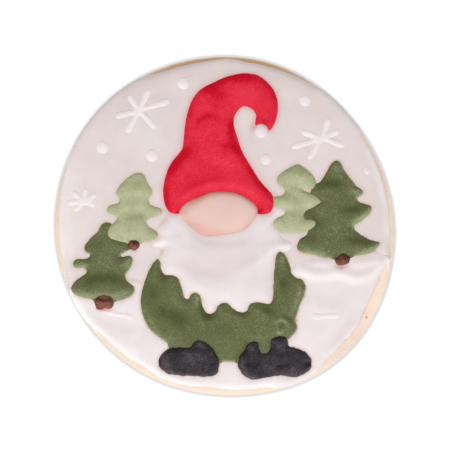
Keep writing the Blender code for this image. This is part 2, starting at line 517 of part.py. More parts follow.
def main():
    for obj in list(bpy.data.objects):
        bpy.data.objects.remove(obj)
    scene = bpy.context.scene.collection
    pieces = bpy.data.collections.new("decorated_butter_cookie")
    cutters = bpy.data.collections.new("cutters")
    scene.children.link(pieces)
    scene.children.link(cutters)

    biscuit = material("biscuit", BISCUIT, 0.8)
    white = material("white_icing", WHITE_ICING, 0.45)
    red = material("red_icing", RED_ICING, 0.55)
    skin = material("skin_icing", SKIN_ICING, 0.5)
    pale_green = material("pale_green_icing", PALE_GREEN_ICING, 0.55)
    dark_green = material("dark_green_icing", DARK_GREEN_ICING, 0.55)
    black = material("black_icing", BLACK_ICING, 0.55)
    brown = material("brown_icing", BROWN_ICING, 0.5)

    sky = along_rim(SKY_RIM) + [Vector(p) for p in SKY_HIDDEN]
    snow = along_rim(SNOW_RIM) + [Vector(p) for p in SNOW_HIDDEN]
    bobble = round_outline(BOBBLE_CENTRE, BOBBLE_RADIUS, 18)
    bobble_inner = round_outline(BOBBLE_CENTRE, 0.6 * BOBBLE_RADIUS, 10) + [Vector(BOBBLE_CENTRE)]
    beard_locks = (BEARD_LEFT_LOCK, BEARD_RIGHT_LOCK, BEARD_HEM)
    cookie(pieces, biscuit)
    drawn = [
        ("nose", smooth(NOSE, 1.6), NOSE_THICKNESS, skin, {"shoulder": 4.0}),
        ("hat_bobble", bobble, FIGURE_THICKNESS, white, {"shoulder": BOBBLE_RADIUS, "inner": bobble_inner}),
        ("boot_left", smooth(BOOT_LEFT, 1.5), FIGURE_THICKNESS, black, {}),
        ("boot_right", smooth(BOOT_RIGHT, 1.5), FIGURE_THICKNESS, black, {}),
        ("trunk_left_pale", smooth(TRUNK_LEFT_PALE), FIGURE_THICKNESS, brown, {"shoulder": 1.0}),
        ("trunk_left_dark", smooth(TRUNK_LEFT_DARK), FIGURE_THICKNESS, brown, {"shoulder": 1.0}),
        ("trunk_right_dark", smooth(TRUNK_RIGHT_DARK), FIGURE_THICKNESS, brown, {"shoulder": 1.0}),
        ("hat", smooth(HAT, 1.5), FIGURE_THICKNESS, red, {"ridges": (HAT_BRIM,)}),
        ("trousers", smooth(TROUSERS, 1.5), FIGURE_THICKNESS, dark_green, {}),
        ("tree_left_pale", smooth(TREE_LEFT_PALE, 1.8), FIGURE_THICKNESS, pale_green, {}),
        ("tree_right_pale", smooth(TREE_RIGHT_PALE, 1.8), FIGURE_THICKNESS, pale_green, {}),
        ("tree_left_dark", smooth(TREE_LEFT_DARK, 1.8), FIGURE_THICKNESS, dark_green, {}),
        ("tree_right_dark", smooth(TREE_RIGHT_DARK, 1.8), FIGURE_THICKNESS, dark_green, {}),
        ("beard", smooth(BEARD, 1.5), BEARD_THICKNESS, white, {"ridges": beard_locks}),
        ("icing_snow", smooth(snow, 2.4), SNOW_THICKNESS, white, {"ridges": (SNOW_DRIFT,)}),
        ("icing_sky", smooth(sky, 2.4), SKY_THICKNESS, white, {}),
        ("icing_sky_left", smooth(SKY_LEFT, 1.8), SKY_THICKNESS, white, {}),
        ("icing_sky_right", smooth(SKY_RIGHT, 1.8), SKY_THICKNESS, white, {}),
    ]
    pools_side_by_side(drawn, pieces, cutters)
    piping(pieces, white)
    for obj in pieces.objects:
        obj.data.shade_smooth()
        obj.data.set_sharp_from_angle(angle=math.radians(40))
    centre_on_origin(pieces)
    for obj in cutters.objects:
        obj.parent = bpy.data.objects["cookie_centre"]


main()
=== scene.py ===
from functools import cached_property

import bmesh
import bpy
import numpy as np
from bpy.props import FloatProperty, FloatVectorProperty, PointerProperty
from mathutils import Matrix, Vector, noise
from mathutils.kdtree import KDTree


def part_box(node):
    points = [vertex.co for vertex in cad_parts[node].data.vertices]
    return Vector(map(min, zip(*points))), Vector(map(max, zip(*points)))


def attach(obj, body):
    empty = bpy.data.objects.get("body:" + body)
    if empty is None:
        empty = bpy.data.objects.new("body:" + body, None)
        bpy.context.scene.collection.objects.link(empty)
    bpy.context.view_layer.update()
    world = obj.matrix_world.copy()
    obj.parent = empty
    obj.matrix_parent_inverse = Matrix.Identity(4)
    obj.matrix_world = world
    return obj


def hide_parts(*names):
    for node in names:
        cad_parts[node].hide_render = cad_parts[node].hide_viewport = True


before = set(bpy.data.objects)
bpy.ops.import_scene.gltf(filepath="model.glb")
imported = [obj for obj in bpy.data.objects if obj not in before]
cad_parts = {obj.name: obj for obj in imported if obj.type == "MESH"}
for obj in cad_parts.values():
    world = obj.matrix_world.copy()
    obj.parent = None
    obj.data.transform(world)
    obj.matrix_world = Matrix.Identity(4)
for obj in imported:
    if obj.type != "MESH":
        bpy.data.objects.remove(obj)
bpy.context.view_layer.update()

bl_info = {
    "name": "Iced gnome cookie",
    "version": (1, 0, 0),
    "blender": (4, 5, 0),
    "location": "View3D > Sidebar > Cookie",
    "description": "Dresses the cookie's solids: baked biscuit, poured icing, piped snow and a pale studio",
    "category": "Object",
}

MM = 0.001
BISCUIT_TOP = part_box("cookie")[1].z

# measures in metres
MERGE = 1e-6  # corners this near to each other are one
OUTLINE_LEVEL = 0.0002  # where a pool's outline is taken, above its underside
POOL_FOOT = 0.0003  # how far a pool reaches down into the biscuit
POOL_BLOCK = 0.002  # thickness of the block that a pool is shaped from
PIPING_FOOT = 0.0008  # where piping starts above the biscuit, inside the pool that carries it
PIPING_BLOCK = 0.0015  # thickness of the block that piping is shaped from
PIPING_CELL = 0.00013  # edge length of the piping's mesh

# measures in mm, the unit of all outlines, tables and places below
DESIGN_CENTRE = Vector((0.076, 0.275))  # where the design's own origin lies on the cookie
FAR_AWAY = (1000, 1000)  # a point that no pool comes near
CLEARANCE = 0.3  # the gap under each solid, which the icing fills
BESIDE = 0.9  # pools with their outlines this near lie side by side
WIDEST_GAP, GAP_FADE = 1.1, 0.3  # the widest gap that closes, and over how much of it the closing fades in
RUN_OUT = 0.6  # how far a pool runs out under white icing that is poured later
RUN_OUT_DROP = 0.35  # how much lower it lies there
CARRY_REACH = 1.2  # how far in from its edge a pool is drawn along when the edge closes a gap
OPEN_SHOULDER = 1.4  # the widest shoulder along an edge with bare biscuit beside it
SAG_REACH = 7.0  # how far in from such an edge a pool sags
SETTLED = 1.2  # how far in from any edge the swells and ridges reach their full height
PIPING_SET = 0.06  # how far piping sinks into the pool under it
BLEED_REACH = 0.7  # how far the hat's red bleeds into its neighbours
THIN_REACH = 0.38  # how far the biscuit shows through at a seam, a tan line that is partly painted contact shade
SEAM_REACH = 1.0  # how far the painted shade along a seam reaches


# ---------------------------------------------------------------- settings


class CookieBiscuitSettings(bpy.types.PropertyGroup):
    """The baked biscuit under the icing."""

    crumb: FloatProperty(
        name="Crumb size", description="Edge length of the biscuit's mesh", default=0.00045, unit="LENGTH"
    )
    unevenness: FloatProperty(
        name="Unevenness", description="How far the baked side sinks in at its pits", default=0.00015,
        unit="LENGTH",
    )
    crust: FloatVectorProperty(
        name="Crust", description="Colour of the baked side", subtype="COLOR",
        default=(0.93, 0.785, 0.66), min=0, max=1,
    )
    crumb_colour: FloatVectorProperty(
        name="Crumb", description="Colour of the pale baked top", subtype="COLOR",
        default=(0.86, 0.69, 0.54), min=0, max=1,
    )


class CookieIcingSettings(bpy.types.PropertyGroup):
    """The poured and piped icing."""

    cell: FloatProperty(
        name="Cell", description="Edge length of the icing's mesh", default=0.00024, unit="LENGTH"
    )
    overlap: FloatProperty(
        name="Overlap", description="How far a pool runs in under the pool beside it", default=0.0009,
        unit="LENGTH",
    )
    growth: FloatProperty(
        name="Growth", description="How far each pool ran out before it set", default=0.00018, unit="LENGTH"
    )
    sky: FloatVectorProperty(
        name="Sky", description="Background icing", subtype="COLOR",
        default=(0.755, 0.678, 0.667), min=0, max=1,
    )
    # sky and snow are one white icing; the snow's paler colour is partly painted light on the side nearer the
    # lamp
    snow: FloatVectorProperty(
        name="Snow", description="Ground and beard icing", subtype="COLOR",
        default=(0.807, 0.745, 0.75), min=0, max=1,
    )
    red: FloatVectorProperty(
        name="Red", description="Hat icing", subtype="COLOR", default=(0.73, 0.02, 0.048), min=0, max=1
    )
    skin: FloatVectorProperty(
        name="Skin", description="Nose icing", subtype="COLOR", default=(0.79, 0.572, 0.508), min=0, max=1
    )
    dark_green: FloatVectorProperty(
        name="Dark green", description="Trousers and near trees", subtype="COLOR",
        default=(0.118, 0.133, 0.052), min=0, max=1,
    )
    pale_green: FloatVectorProperty(
        name="Pale green", description="Far trees", subtype="COLOR", default=(0.405, 0.43, 0.25), min=0, max=1
    )
    piped: FloatVectorProperty(
        name="Piped", description="Snowflakes, dots and strokes", subtype="COLOR",
        default=(0.845, 0.785, 0.79), min=0, max=1,
    )
    black: FloatVectorProperty(
        name="Black", description="Boot icing", subtype="COLOR", default=(0.025, 0.019, 0.024), min=0, max=1
    )
    brown: FloatVectorProperty(
        name="Brown", description="Trunk icing", subtype="COLOR", default=(0.15, 0.055, 0.036), min=0, max=1
    )


class CookieStageSettings(bpy.types.PropertyGroup):
    """The floor, the lights and the camera."""

    width: FloatProperty(
        name="Width in view", description="Width the camera takes in at the icing", default=0.113,
        unit="LENGTH",
    )
    distance: FloatProperty(
        name="Distance", description="Camera height above the icing", default=1.0, unit="LENGTH"
    )
    key: FloatProperty(
        name="Key light", description="Power of the soft lamp beyond the boots", default=1.45, unit="POWER"
    )
    fill: FloatProperty(
        name="Fill light", description="Strength of the even light from all round", default=0.62
    )


# ---------------------------------------------------------------- materials


class Finish:
    """A material in the making: its nodes, and the inputs of the shader that they lead to."""

    def __init__(self, name, roughness, specular):
        self.material = bpy.data.materials.new(name)
        self.material.use_nodes = True
        self.nodes = self.material.node_tree.nodes
        self.links = self.material.node_tree.links
        self.shader = self.nodes["Principled BSDF"].inputs
        self.shader["Roughness"].default_value = roughness
        self.shader["Specular IOR Level"].default_value = specular

    @cached_property
    def coords(self):
        """Object coordinates, in metres."""
        return self.nodes.new("ShaderNodeTexCoord").outputs["Object"]

    def feed(self, socket, value):
        """Links another node's output to the socket, or sets it to a number or a colour."""
        if isinstance(value, bpy.types.NodeSocket):
            self.links.new(value, socket)
        elif isinstance(value, (int, float)):
            socket.default_value = value
        else:
            socket.default_value = (*value, 1.0)

    def attribute(self, name):
        """An amount kept at the mesh's points."""
        node = self.nodes.new("ShaderNodeAttribute")
        node.attribute_name = name
        return node.outputs["Fac"]

    def noise(self, scale, detail=3.0, roughness=0.55):
        node = self.nodes.new("ShaderNodeTexNoise")
        node.inputs["Scale"].default_value = scale
        node.inputs["Detail"].default_value = detail
        node.inputs["Roughness"].default_value = roughness
        self.links.new(self.coords, node.inputs["Vector"])
        return node.outputs["Fac"]

    def ramp(self, value, low, high, to_low, to_high):
        """The value's stretch from low to high drawn out from to_low to to_high, and level beyond it."""
        node = self.nodes.new("ShaderNodeMapRange")
        node.clamp = True
        for name, number in (("From Min", low), ("From Max", high), ("To Min", to_low), ("To Max", to_high)):
            node.inputs[name].default_value = number
        self.links.new(value, node.inputs["Value"])
        return node.outputs["Result"]

    def mix(self, share, first, second):
        """The first colour, with that share of the second."""
        node = self.nodes.new("ShaderNodeMix")
        node.data_type = "RGBA"
        for name, value in (("Factor", share), ("A", first), ("B", second)):
            self.feed(node.inputs[name], value)
        return node.outputs["Result"]

    def combine(self, operation, first, second):
        """The sum or the product of two amounts."""
        node = self.nodes.new("ShaderNodeMath")
        node.operation = operation
        for socket, value in zip(node.inputs, (first, second)):
            self.feed(socket, value)
        return node.outputs["Value"]

    def done(self, tint, height, distance, strength):
        """The material, with its colour and the bump of its grain."""
        self.links.new(tint, self.shader["Base Color"])
        node = self.nodes.new("ShaderNodeBump")
        node.inputs["Strength"].default_value = strength
        node.inputs["Distance"].default_value = distance
        self.links.new(height, node.inputs["Height"])
        self.links.new(node.outputs["Normal"], self.shader["Normal"])
        return self.material


def shaded(colour, share):
    return [channel * share for channel in colour]


def white_icing(name, colour, bled_colour=(0.72, 0.30, 0.31), deep=(0.90, 0.865, 0.86)):
    """Pale icing: cloudy, warmer where it lies thin, with a sugar grain and the hat's red bled in, pinker in
    painted shade and paler in painted highlight where its shade amount says.
    """
    made = Finish(name, 0.5, 0.3)
    made.shader["Subsurface Weight"].default_value = 0.12
    made.shader["Subsurface Radius"].default_value = (1.0, 0.75, 0.7)
    made.shader["Subsurface Scale"].default_value = 0.0005
    clouds = made.ramp(made.noise(150), 0.35, 0.65, 0, 1)
    thin = made.ramp(made.noise(190), 0.5, 0.72, 0, 0.8)
    grain = made.noise(3500, 2)
    shade = made.attribute("shade")
    warmer = [colour[0], colour[1] * 0.972, colour[2] * 0.925]
    pinker = [channel * share for channel, share in zip(colour, deep)]
    paler = [0.45 * channel + 0.565 for channel in colour]
    tint = made.mix(clouds, shaded(colour, 0.96), shaded(colour, 1.03))
    tint = made.mix(thin, tint, warmer)
    # pinker where the shade amount is painted shade in hollows, creases and along seams, partly the icing's
    # own tone; paler where it is painted highlight
    tint = made.mix(made.ramp(shade, 0, 1, 0, 1), tint, pinker)
    tint = made.mix(made.ramp(shade, -1, 0, 1, 0), tint, paler)
    tint = made.mix(made.ramp(grain, 0.3, 0.7, 0, 0.06), tint, shaded(colour, 0.7))
    # tan where the biscuit shows through at seams, and painted shade in some creases and pockets
    tint = made.mix(made.attribute("thin"), tint, (0.60, 0.43, 0.29))
    tint = made.mix(made.attribute("bleed"), tint, bled_colour)
    return made.done(tint, made.combine("ADD", grain, made.noise(900)), 0.00004, 0.5)


def coloured_icing(name, colour, deep, dusty_and_sheen, mottle, grain_depth, dusting, gloss):
    """Tinted icing that dried matt: darker where its shade amount is high, partly its own tone and partly
    painted shade, paler where it is low, partly sugar dust and partly painted sheen, and grainy.
    """
    made = Finish(name, 0.6, gloss)
    patches = made.ramp(made.noise(230, 4, 0.62), 0.3, 0.7, -mottle, mottle)
    grain = made.noise(3000, 3, 0.8)
    speckle = made.ramp(grain, 0.3, 0.7, -grain_depth, grain_depth)
    # depth: the shade amount, partly painted shade and painted sheen, with random mottle and grain added
    depth = made.combine("ADD", made.combine("ADD", made.attribute("shade"), patches), speckle)
    sugar = made.ramp(made.noise(4300, 2, 0.7), 0.6, 0.72, 0, dusting)
    # darker for painted shade and the icing's own tone, near black above 2 as painted shade in crevices,
    # paler below 0 as painted sheen
    tint = made.mix(made.ramp(depth, 0, 1, 0, 1), colour, deep)
    tint = made.mix(made.ramp(depth, 2, 3, 0, 1), tint, shaded(deep, 0.25))
    tint = made.mix(made.ramp(depth, -1, 0, 1, 0), tint, dusty_and_sheen)
    tint = made.mix(sugar, tint, dusty_and_sheen)
    return made.done(tint, grain, 0.00007, 0.8)


def finish_of(context, name):
    """The icing of that name, made when it is first asked for."""
    if name not in FINISHES:
        colour = getattr(context.scene.cookie_icing, name)
        if name in MATT:
            FINISHES[name] = coloured_icing(f"set_{name}_icing", colour, *MATT[name])
        else:
            FINISHES[name] = white_icing(f"set_{name}_icing", colour, *PALE.get(name, ()))
    return FINISHES[name]


def baked_biscuit(settings):
    """Butter biscuit: pale on top, golden on the side, browner over the hat partly from baking and partly as
    painted shade, with painted light at the right and painted shade beside the boots, and flecked.
    """
    made = Finish("butter_biscuit", 0.75, 0.2)
    split = made.nodes.new("ShaderNodeSeparateXYZ")
    made.links.new(made.coords, split.inputs["Vector"])
    across, along, up = (split.outputs[axis] for axis in "XYZ")
    toast = made.noise(260, 5, 0.65)
    height = made.combine("ADD", up, made.combine("MULTIPLY", toast, 0.0015))
    tint = made.mix(made.attribute("turned"), settings.crumb_colour, settings.crust)
    bakes_and_painted_light = (
        (across, 0.033, 0.040, 0, 0.5, (1.0, 0.87, 0.77)),  # painted light: palest at the right
        (along, -0.030, -0.020, 0.8, 0, (0.77, 0.66, 0.565)),  # painted shade: darker beside the boots, on the side nearest the lamp
        (across, -0.0415, -0.036, 0.8, 0, (0.92, 0.725, 0.52)),  # warm at the left
        (height, 0.0012, 0.0028, 1, 0, (0.46, 0.27, 0.13)),  # browner at the foot
        (along, 0.030, 0.041, 0, 0.85, (0.66, 0.41, 0.20)),  # brown over the hat: baked browning, and painted shade on the side away from the lamp
        (toast, 0.4, 0.75, 0, 0.22, (0.66, 0.46, 0.29)),  # toasted in patches
        (made.noise(1100, 3, 0.6), 0.7, 0.78, 0, 0.6, (0.36, 0.19, 0.11)),  # flecked
    )
    for value, low, high, to_low, to_high, colour in bakes_and_painted_light:
        tint = made.mix(made.ramp(value, low, high, to_low, to_high), tint, colour)
    for x, y, size in SPECKS:
        away = made.nodes.new("ShaderNodeVectorMath")
        away.operation = "DISTANCE"
        made.links.new(made.coords, away.inputs[0])
        away.inputs[1].default_value = ((x + DESIGN_CENTRE.x) * MM, (y + DESIGN_CENTRE.y) * MM, BISCUIT_TOP)
        speck = made.ramp(away.outputs["Value"], size * 0.6 * MM, size * MM, 0.7, 0)
        tint = made.mix(speck, tint, (0.33, 0.17, 0.10))
    pores = made.nodes.new("ShaderNodeTexVoronoi")
    pores.inputs["Scale"].default_value = 1300
    made.links.new(made.coords, pores.inputs["Vector"])
    pits = made.ramp(pores.outputs["Distance"], 0.0, 0.45, 0, 1)
    return made.done(tint, made.combine("ADD", pits, made.noise(2200, 4, 0.7)), 0.00008, 0.6)


# ---------------------------------------------------------------- meshes


def merged(mesh):
    """A bmesh of the mesh, its doubled corners made one."""
    bm = bmesh.new()
    bm.from_mesh(mesh)
    bmesh.ops.remove_doubles(bm, verts=bm.verts[:], dist=MERGE)
    return bm


def written(bm, mesh):
    """The mesh with the bmesh written to it."""
    bm.to_mesh(mesh)
    bm.free()
    return mesh


def smooth(bm, times, upright=True):
    """Evens the surface out so many times, leaving its heights alone where upright is False."""
    for _ in range(times):
        bmesh.ops.smooth_vert(
            bm, verts=bm.verts[:], factor=0.5, use_axis_x=True, use_axis_y=True, use_axis_z=upright
        )


def evaluated(obj):
    """The mesh that an object's curve or modifiers give. The object is gone afterwards."""
    bpy.context.scene.collection.objects.link(obj)
    bpy.context.view_layer.update()
    mesh = bpy.data.meshes.new_from_object(obj.evaluated_get(bpy.context.evaluated_depsgraph_get()))
    bpy.data.objects.remove(obj)
    return mesh


def remeshed(mesh, cell):
    """The mesh rebuilt from even cells."""
    holder = bpy.data.objects.new("cells", mesh)
    cells = holder.modifiers.new("cells", "REMESH")
    cells.mode = "VOXEL"
    cells.voxel_size = cell
    cells.use_smooth_shade = True
    made = evaluated(holder)
    bpy.data.meshes.remove(mesh)
    return made


def fattened(mesh, cell, spread):
    """The mesh rebuilt from even cells and swollen evenly, then rebuilt once more so that no fold is left."""
    mesh = remeshed(mesh, cell)
    bm = bmesh.new()
    bm.from_mesh(mesh)
    smooth(bm, 1, upright=False)
    bm.normal_update()
    for vert in bm.verts:
        vert.co += vert.normal * spread
    return remeshed(written(bm, mesh), cell)


def spots_of(mesh):
    """Where the mesh's vertices are: a row of x, y and z for each."""
    spots = np.empty(len(mesh.vertices) * 3)
    mesh.vertices.foreach_get("co", spots)
    return spots.reshape(-1, 3)


def move_to(mesh, spots):
    mesh.vertices.foreach_set("co", spots.reshape(-1))


def keep_amounts(mesh, name, amounts):
    """Keeps an amount at each point of the mesh, for its material to read."""
    mesh.attributes.new(name, "FLOAT", "POINT").data.foreach_set("value", amounts)


def set_in_scene(context, name, mesh, finish):
    """The finished mesh as an object of the scene."""
    mesh.name = name
    mesh.materials.clear()
    mesh.materials.append(finish)
    mesh.shade_smooth()
    obj = bpy.data.objects.new(name, mesh)
    context.scene.collection.objects.link(obj)
    return obj


# ---------------------------------------------------------------- outlines


def outlines_of(node):
    """The closed outlines of a CAD pool, in mm, taken just above its underside, where its side is upright."""
    bm = merged(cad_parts[node].data)
    cut = bmesh.ops.bisect_plane(
        bm,
        geom=bm.verts[:] + bm.edges[:] + bm.faces[:],
        dist=1e-8,
        plane_co=(0, 0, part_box(node)[0].z + OUTLINE_LEVEL),
        plane_no=(0, 0, 1),
        clear_outer=True,
    )
    # the edges in the order of the cut, so that every outline starts at the same corner each time
    edges = dict.fromkeys(edge for edge in cut["geom_cut"] if isinstance(edge, bmesh.types.BMEdge))
    loops = []
    while edges:
        edge = next(iter(edges))
        del edges[edge]
        first, vert = edge.verts
        loop = [first.co.to_2d() / MM]
        while vert != first:
            loop.append(vert.co.to_2d() / MM)
            edge = next(e for e in vert.link_edges if e in edges)
            del edges[edge]
            vert = edge.other_vert(vert)
        loops.append(loop)
    bm.free()
    return loops


def softened(loop, step=0.15, least=0.35):
    """A smooth curve through an outline's corners, with a point every step."""
    knots = [loop[0]]
    for point in loop[1:]:
        if (point - knots[-1]).length > least:
            knots.append(point)
    if (knots[-1] - knots[0]).length < least:
        knots.pop()
    count = len(knots)
    slopes = []
    for i, here in enumerate(knots):
        back, on = here - knots[i - 1], knots[(i + 1) % count] - here
        a, b = back.length, on.length
        slopes.append((back / a * b + on / b * a) / (a + b))
    curve = []
    for i, here in enumerate(knots):
        ahead = knots[(i + 1) % count]
        span = (ahead - here).length
        pieces = max(1, round(span / step))
        for k in range(pieces):
            t = k / pieces
            curve.append(
                here * (2 * t**3 - 3 * t**2 + 1)
                + slopes[i] * span * (t**3 - 2 * t**2 + t)
                + ahead * (3 * t**2 - 2 * t**3)
                + slopes[(i + 1) % count] * span * (t**3 - t**2)
            )
    return curve


def outward_of(loop):
    """The way out from a closed outline at each of its points."""
    count = len(loop)
    area = sum(loop[i - 1].cross(loop[i]) for i in range(count))
    turn = 1 if area > 0 else -1
    ways = []
    for i in range(count):
        along = (loop[(i + 1) % count] - loop[i - 1]).normalized()
        ways.append(Vector((along.y, -along.x)) * turn)
    return ways


def ragged(loop, amount):
    """The outline with small uneven steps in and out, up to about the given amount in mm."""
    rough = []
    for point, way in zip(loop, outward_of(loop)):
        x, y = point
        step = noise.noise((x / 0.9, y / 0.9, 3)) + 0.7 * noise.noise((x / 0.45, y / 0.45, 8))
        rough.append(point + way * (amount * step))
    return rough


def all_outlines():
    """Every pool's outline, read once before the first is poured."""
    if not OUTLINES:
        for node in POOLS:
            OUTLINES[node] = [ragged(softened(loop), ROUGH.get(node, 0)) for loop in outlines_of(node)]
    return OUTLINES


def patches_of(node):
    """The outlines of the bits that belong to a pool besides its CAD outline, in mm."""
    patches = PATCHES.get(node, ())
    return [[softened([Vector(corner) + DESIGN_CENTRE for corner in patch])] for patch in patches]


def joined(loops):
    """The items of several loops in one list."""
    return [item for loop in loops for item in loop]


def points_of(names):
    """The outline points of the named pools."""
    return joined(loop for name in names for loop in all_outlines()[name])


def tree_of(points):
    """The points in a tree that finds the nearest of them."""
    tree = KDTree(len(points))
    for i, point in enumerate(points):
        tree.insert((point[0], point[1], 0), i)
    tree.balance()
    return tree


def nearest(places, points):
    """For each place, the number of the point nearest to it, and how far away in mm that point is."""
    tree = tree_of(points)
    found = [tree.find((x, y, 0)) for x, y in places]
    return np.array([number for _, number, _ in found]), np.array([gap for _, _, gap in found])


def distances(places, points):
    """Each place's distance to the nearest of the points, in mm."""
    return nearest(places, points)[1] if len(points) else np.full(len(places), np.inf)


def depth_inside(places, corners, ways):
    """Each place's distance in mm to the nearest outline corner, below 0 where it lies outside it."""
    if not len(corners):
        return np.full(len(places), np.inf)
    number, gap = nearest(places, corners)
    along = np.sum((places - np.array(corners)[number]) * np.array(ways)[number], axis=1)
    return np.where(along > 0.3 * gap, -gap, gap)


def beside_flags(node):
    """For each point of the node's outlines, whether a pool lies beside it or bare biscuit does."""
    others = tree_of(points_of(name for name in POOLS if name != node))
    return [others.find((point.x, point.y, 0))[2] < BESIDE for point in joined(all_outlines()[node])]


def evened(steps):
    """The steps along a closed outline, each averaged with its neighbours."""
    return sum(np.roll(np.array(steps), turn, axis=0) for turn in range(-2, 3)) / 5


def closed_share(gap):
    """How much of a gap closes: all of a narrow one, and nothing of one that is too wide."""
    return min(max((WIDEST_GAP - gap) / GAP_FADE, 0), 1)


def closing_steps(loops, earlier, white, overlap, growth):
    """How each point of the outlines moves before the pool is shaped.

    Gives its step to the edge of a pool beside it, its further step in under that pool, and whether it
    runs out softly under white icing that is still to be poured. A point with no pool beside it steps
    out by the growth.
    """
    neighbours, whites = tree_of(earlier or [FAR_AWAY]), tree_of(white or [FAR_AWAY])
    closing, hidden, soft = [], [], []
    for loop in loops:
        to_edge, under = [], []
        for point, way in zip(loop, outward_of(loop)):
            edge, _, gap = neighbours.find((point.x, point.y, 0))
            share = closed_share(gap)
            outer = (1 - share) * closed_share(whites.find((point.x, point.y, 0))[2])
            to_edge.append((edge.to_2d() - point) * share + way * ((1 - share) * growth))
            under.append(way * (share * overlap + outer * RUN_OUT))
            soft.append(outer)
        closing.append(evened(to_edge))
        hidden.append(evened(under))
    return np.concatenate(closing), np.concatenate(hidden), np.array(soft) > 0.5


def carry(mesh, corners, steps, reach):
    """Moves the mesh near each outline corner by that corner's step, fading out over reach mm."""
    spots = spots_of(mesh)
    number, gap = nearest(spots[:, :2] / MM, corners)
    share = np.clip(1 - gap / reach, 0, 1)
    spots[:, :2] += steps[number] * share[:, None] * MM
    move_to(mesh, spots)


# ---------------------------------------------------------------- pools


def prism(name, loops, low, high):
    """The flat outlines filled and drawn up into a block, in metres."""
    curve = bpy.data.curves.new(name, "CURVE")
    curve.dimensions = "2D"
    curve.fill_mode = "BOTH"
    curve.extrude = (high - low) / 2
    for loop in loops:
        spline = curve.splines.new("POLY")
        spline.points.add(len(loop) - 1)
        for point, corner in zip(spline.points, loop):
            point.co = (corner.x * MM, corner.y * MM, 0, 1)
        spline.use_cyclic_u = True
    mesh = evaluated(bpy.data.objects.new(name, curve))
    bm = merged(mesh)
    bmesh.ops.translate(bm, verts=bm.verts[:], vec=(0, 0, (low + high) / 2))
    bmesh.ops.recalc_face_normals(bm, faces=bm.faces[:])
    return written(bm, mesh)


def block(name, groups, low, high):
    """The prisms over several groups of outlines, together in one mesh."""
    bm = bmesh.new()
    for loops in groups:
        bm.from_mesh(prism(name, loops, low, high))
    return written(bm, bpy.data.meshes.new(name))


def fading(gaps, reach, power=2):
    """1 where the gap is nothing, falling away smoothly beyond the reach."""
    return np.exp(-((gaps / reach) ** power))


def nearness(places, reach, line):
    """How near each place is to a drawn line: 1 on it, 0 well away, and fading out towards its ends."""
    closest = np.full(len(places), np.inf)
    travelled = np.zeros(len(places))
    run = 0.0
    for start, end in zip(line, line[1:]):
        a, b = np.array(start, float), np.array(end, float)
        along = b - a
        length = np.sqrt(along @ along)
        share = np.clip((places - a) @ along / length**2, 0, 1)
        away = np.linalg.norm(places - a - share[:, None] * along, axis=1)
        nearer = away < closest
        closest[nearer] = away[nearer]
        travelled[nearer] = run + share[nearer] * length
        run += length
    fade = np.minimum(travelled, run - travelled) / min(2.0, run / 2)
    return np.clip(0.35 + 0.65 * fade, 0, 1) * fading(closest, reach)


def drawn_lines(places, lines):
    """The sum of the drawn lines' amounts at each place."""
    total = np.zeros(len(places))
    for amount, reach, line in lines:
        total += amount * nearness(places - np.array(DESIGN_CENTRE), reach, line)
    return total


def waves(places, size, seed):
    """Soft uneven heights from -1 to 1 with bumps of about the given size in mm."""
    return np.array([noise.noise((x / size, y / size, seed)) for x, y in places])


def climb(depth, shoulder, edge, bulge):
    """The share of its thickness that a pool reaches at a depth in from its edge.

    It starts from the share at the edge. A low bulge stands rounder, and a high one slopes.
    """
    return edge + (1 - edge) * (1 - (1 - np.clip(depth / shoulder, 0, 1)) ** 2) ** bulge


def shape_pool(mesh, low, high, rise):
    """Raises the top of a flat block to the height that rise gives for each place. Its foot stays level."""
    spots = spots_of(mesh)
    surface = rise(spots[:, :2] / MM)
    spots[:, 2] = low + (spots[:, 2] - low) / (high - low) * (surface - low)
    move_to(mesh, spots)


def pool(context, node, finish, slot):
    """One pool of icing in place of its CAD node, closed up to the pools poured before it."""
    icing = context.scene.cookie_icing
    thickness, shoulder, bulge, shared_edge, sag, swell, passes = POOLS[node]
    loops = all_outlines()[node]
    corners = joined(loops)
    ways = np.array(joined(outward_of(loop) for loop in loops))
    closing, hidden, soft = closing_steps(
        loops, points_of(SURFACES), points_of(WHITES.get(node, ())), icing.overlap / MM, icing.growth / MM
    )
    edge = np.array(corners) + closing
    flags = np.array(beside_flags(node))
    seed = 3.7 * len(SURFACES)

    def surface(places):
        beside, open_edge = depth_inside(places, edge[flags], ways[flags]), distances(places, edge[~flags])
        running_out = depth_inside(places, edge[soft], ways[soft])
        beside_share = climb(beside, shoulder, shared_edge, bulge)
        open_share = climb(open_edge, min(shoulder, OPEN_SHOULDER), edge=0.5, bulge=0.5)
        top = thickness * np.minimum(beside_share, open_share)
        top = top - sag * (1 - np.minimum(open_edge / SAG_REACH, 1)) ** 2
        swells = swell * (waves(places, 6.0, seed) + 0.4 * waves(places, 2.4, seed + 7))
        settle = np.clip(np.minimum(beside, open_edge) / SETTLED, 0, 1)
        top += settle * (swells + drawn_lines(places, RELIEF.get(node, ())))
        outermost = np.abs(running_out) <= np.abs(beside) + 1e-6
        top -= np.where(outermost, RUN_OUT_DROP * np.clip(-running_out, 0, 1), 0)
        return BISCUIT_TOP + (CLEARANCE + top) * MM

    SURFACES[node] = surface
    low = BISCUIT_TOP - POOL_FOOT
    high = low + POOL_BLOCK
    mesh = remeshed(block(node, [loops] + patches_of(node), low, high), icing.cell * 1.3)
    carry(mesh, corners, closing + hidden, CARRY_REACH)
    mesh = remeshed(mesh, icing.cell)
    shape_pool(mesh, low, high, surface)
    return icing_piece(context, node, mesh, finish, slot, passes)


def pour(context, icing, slot, *nodes):
    """The nodes' pools, one after another, all from one icing."""
    for node in nodes:
        pool(context, node, finish_of(context, icing), slot)


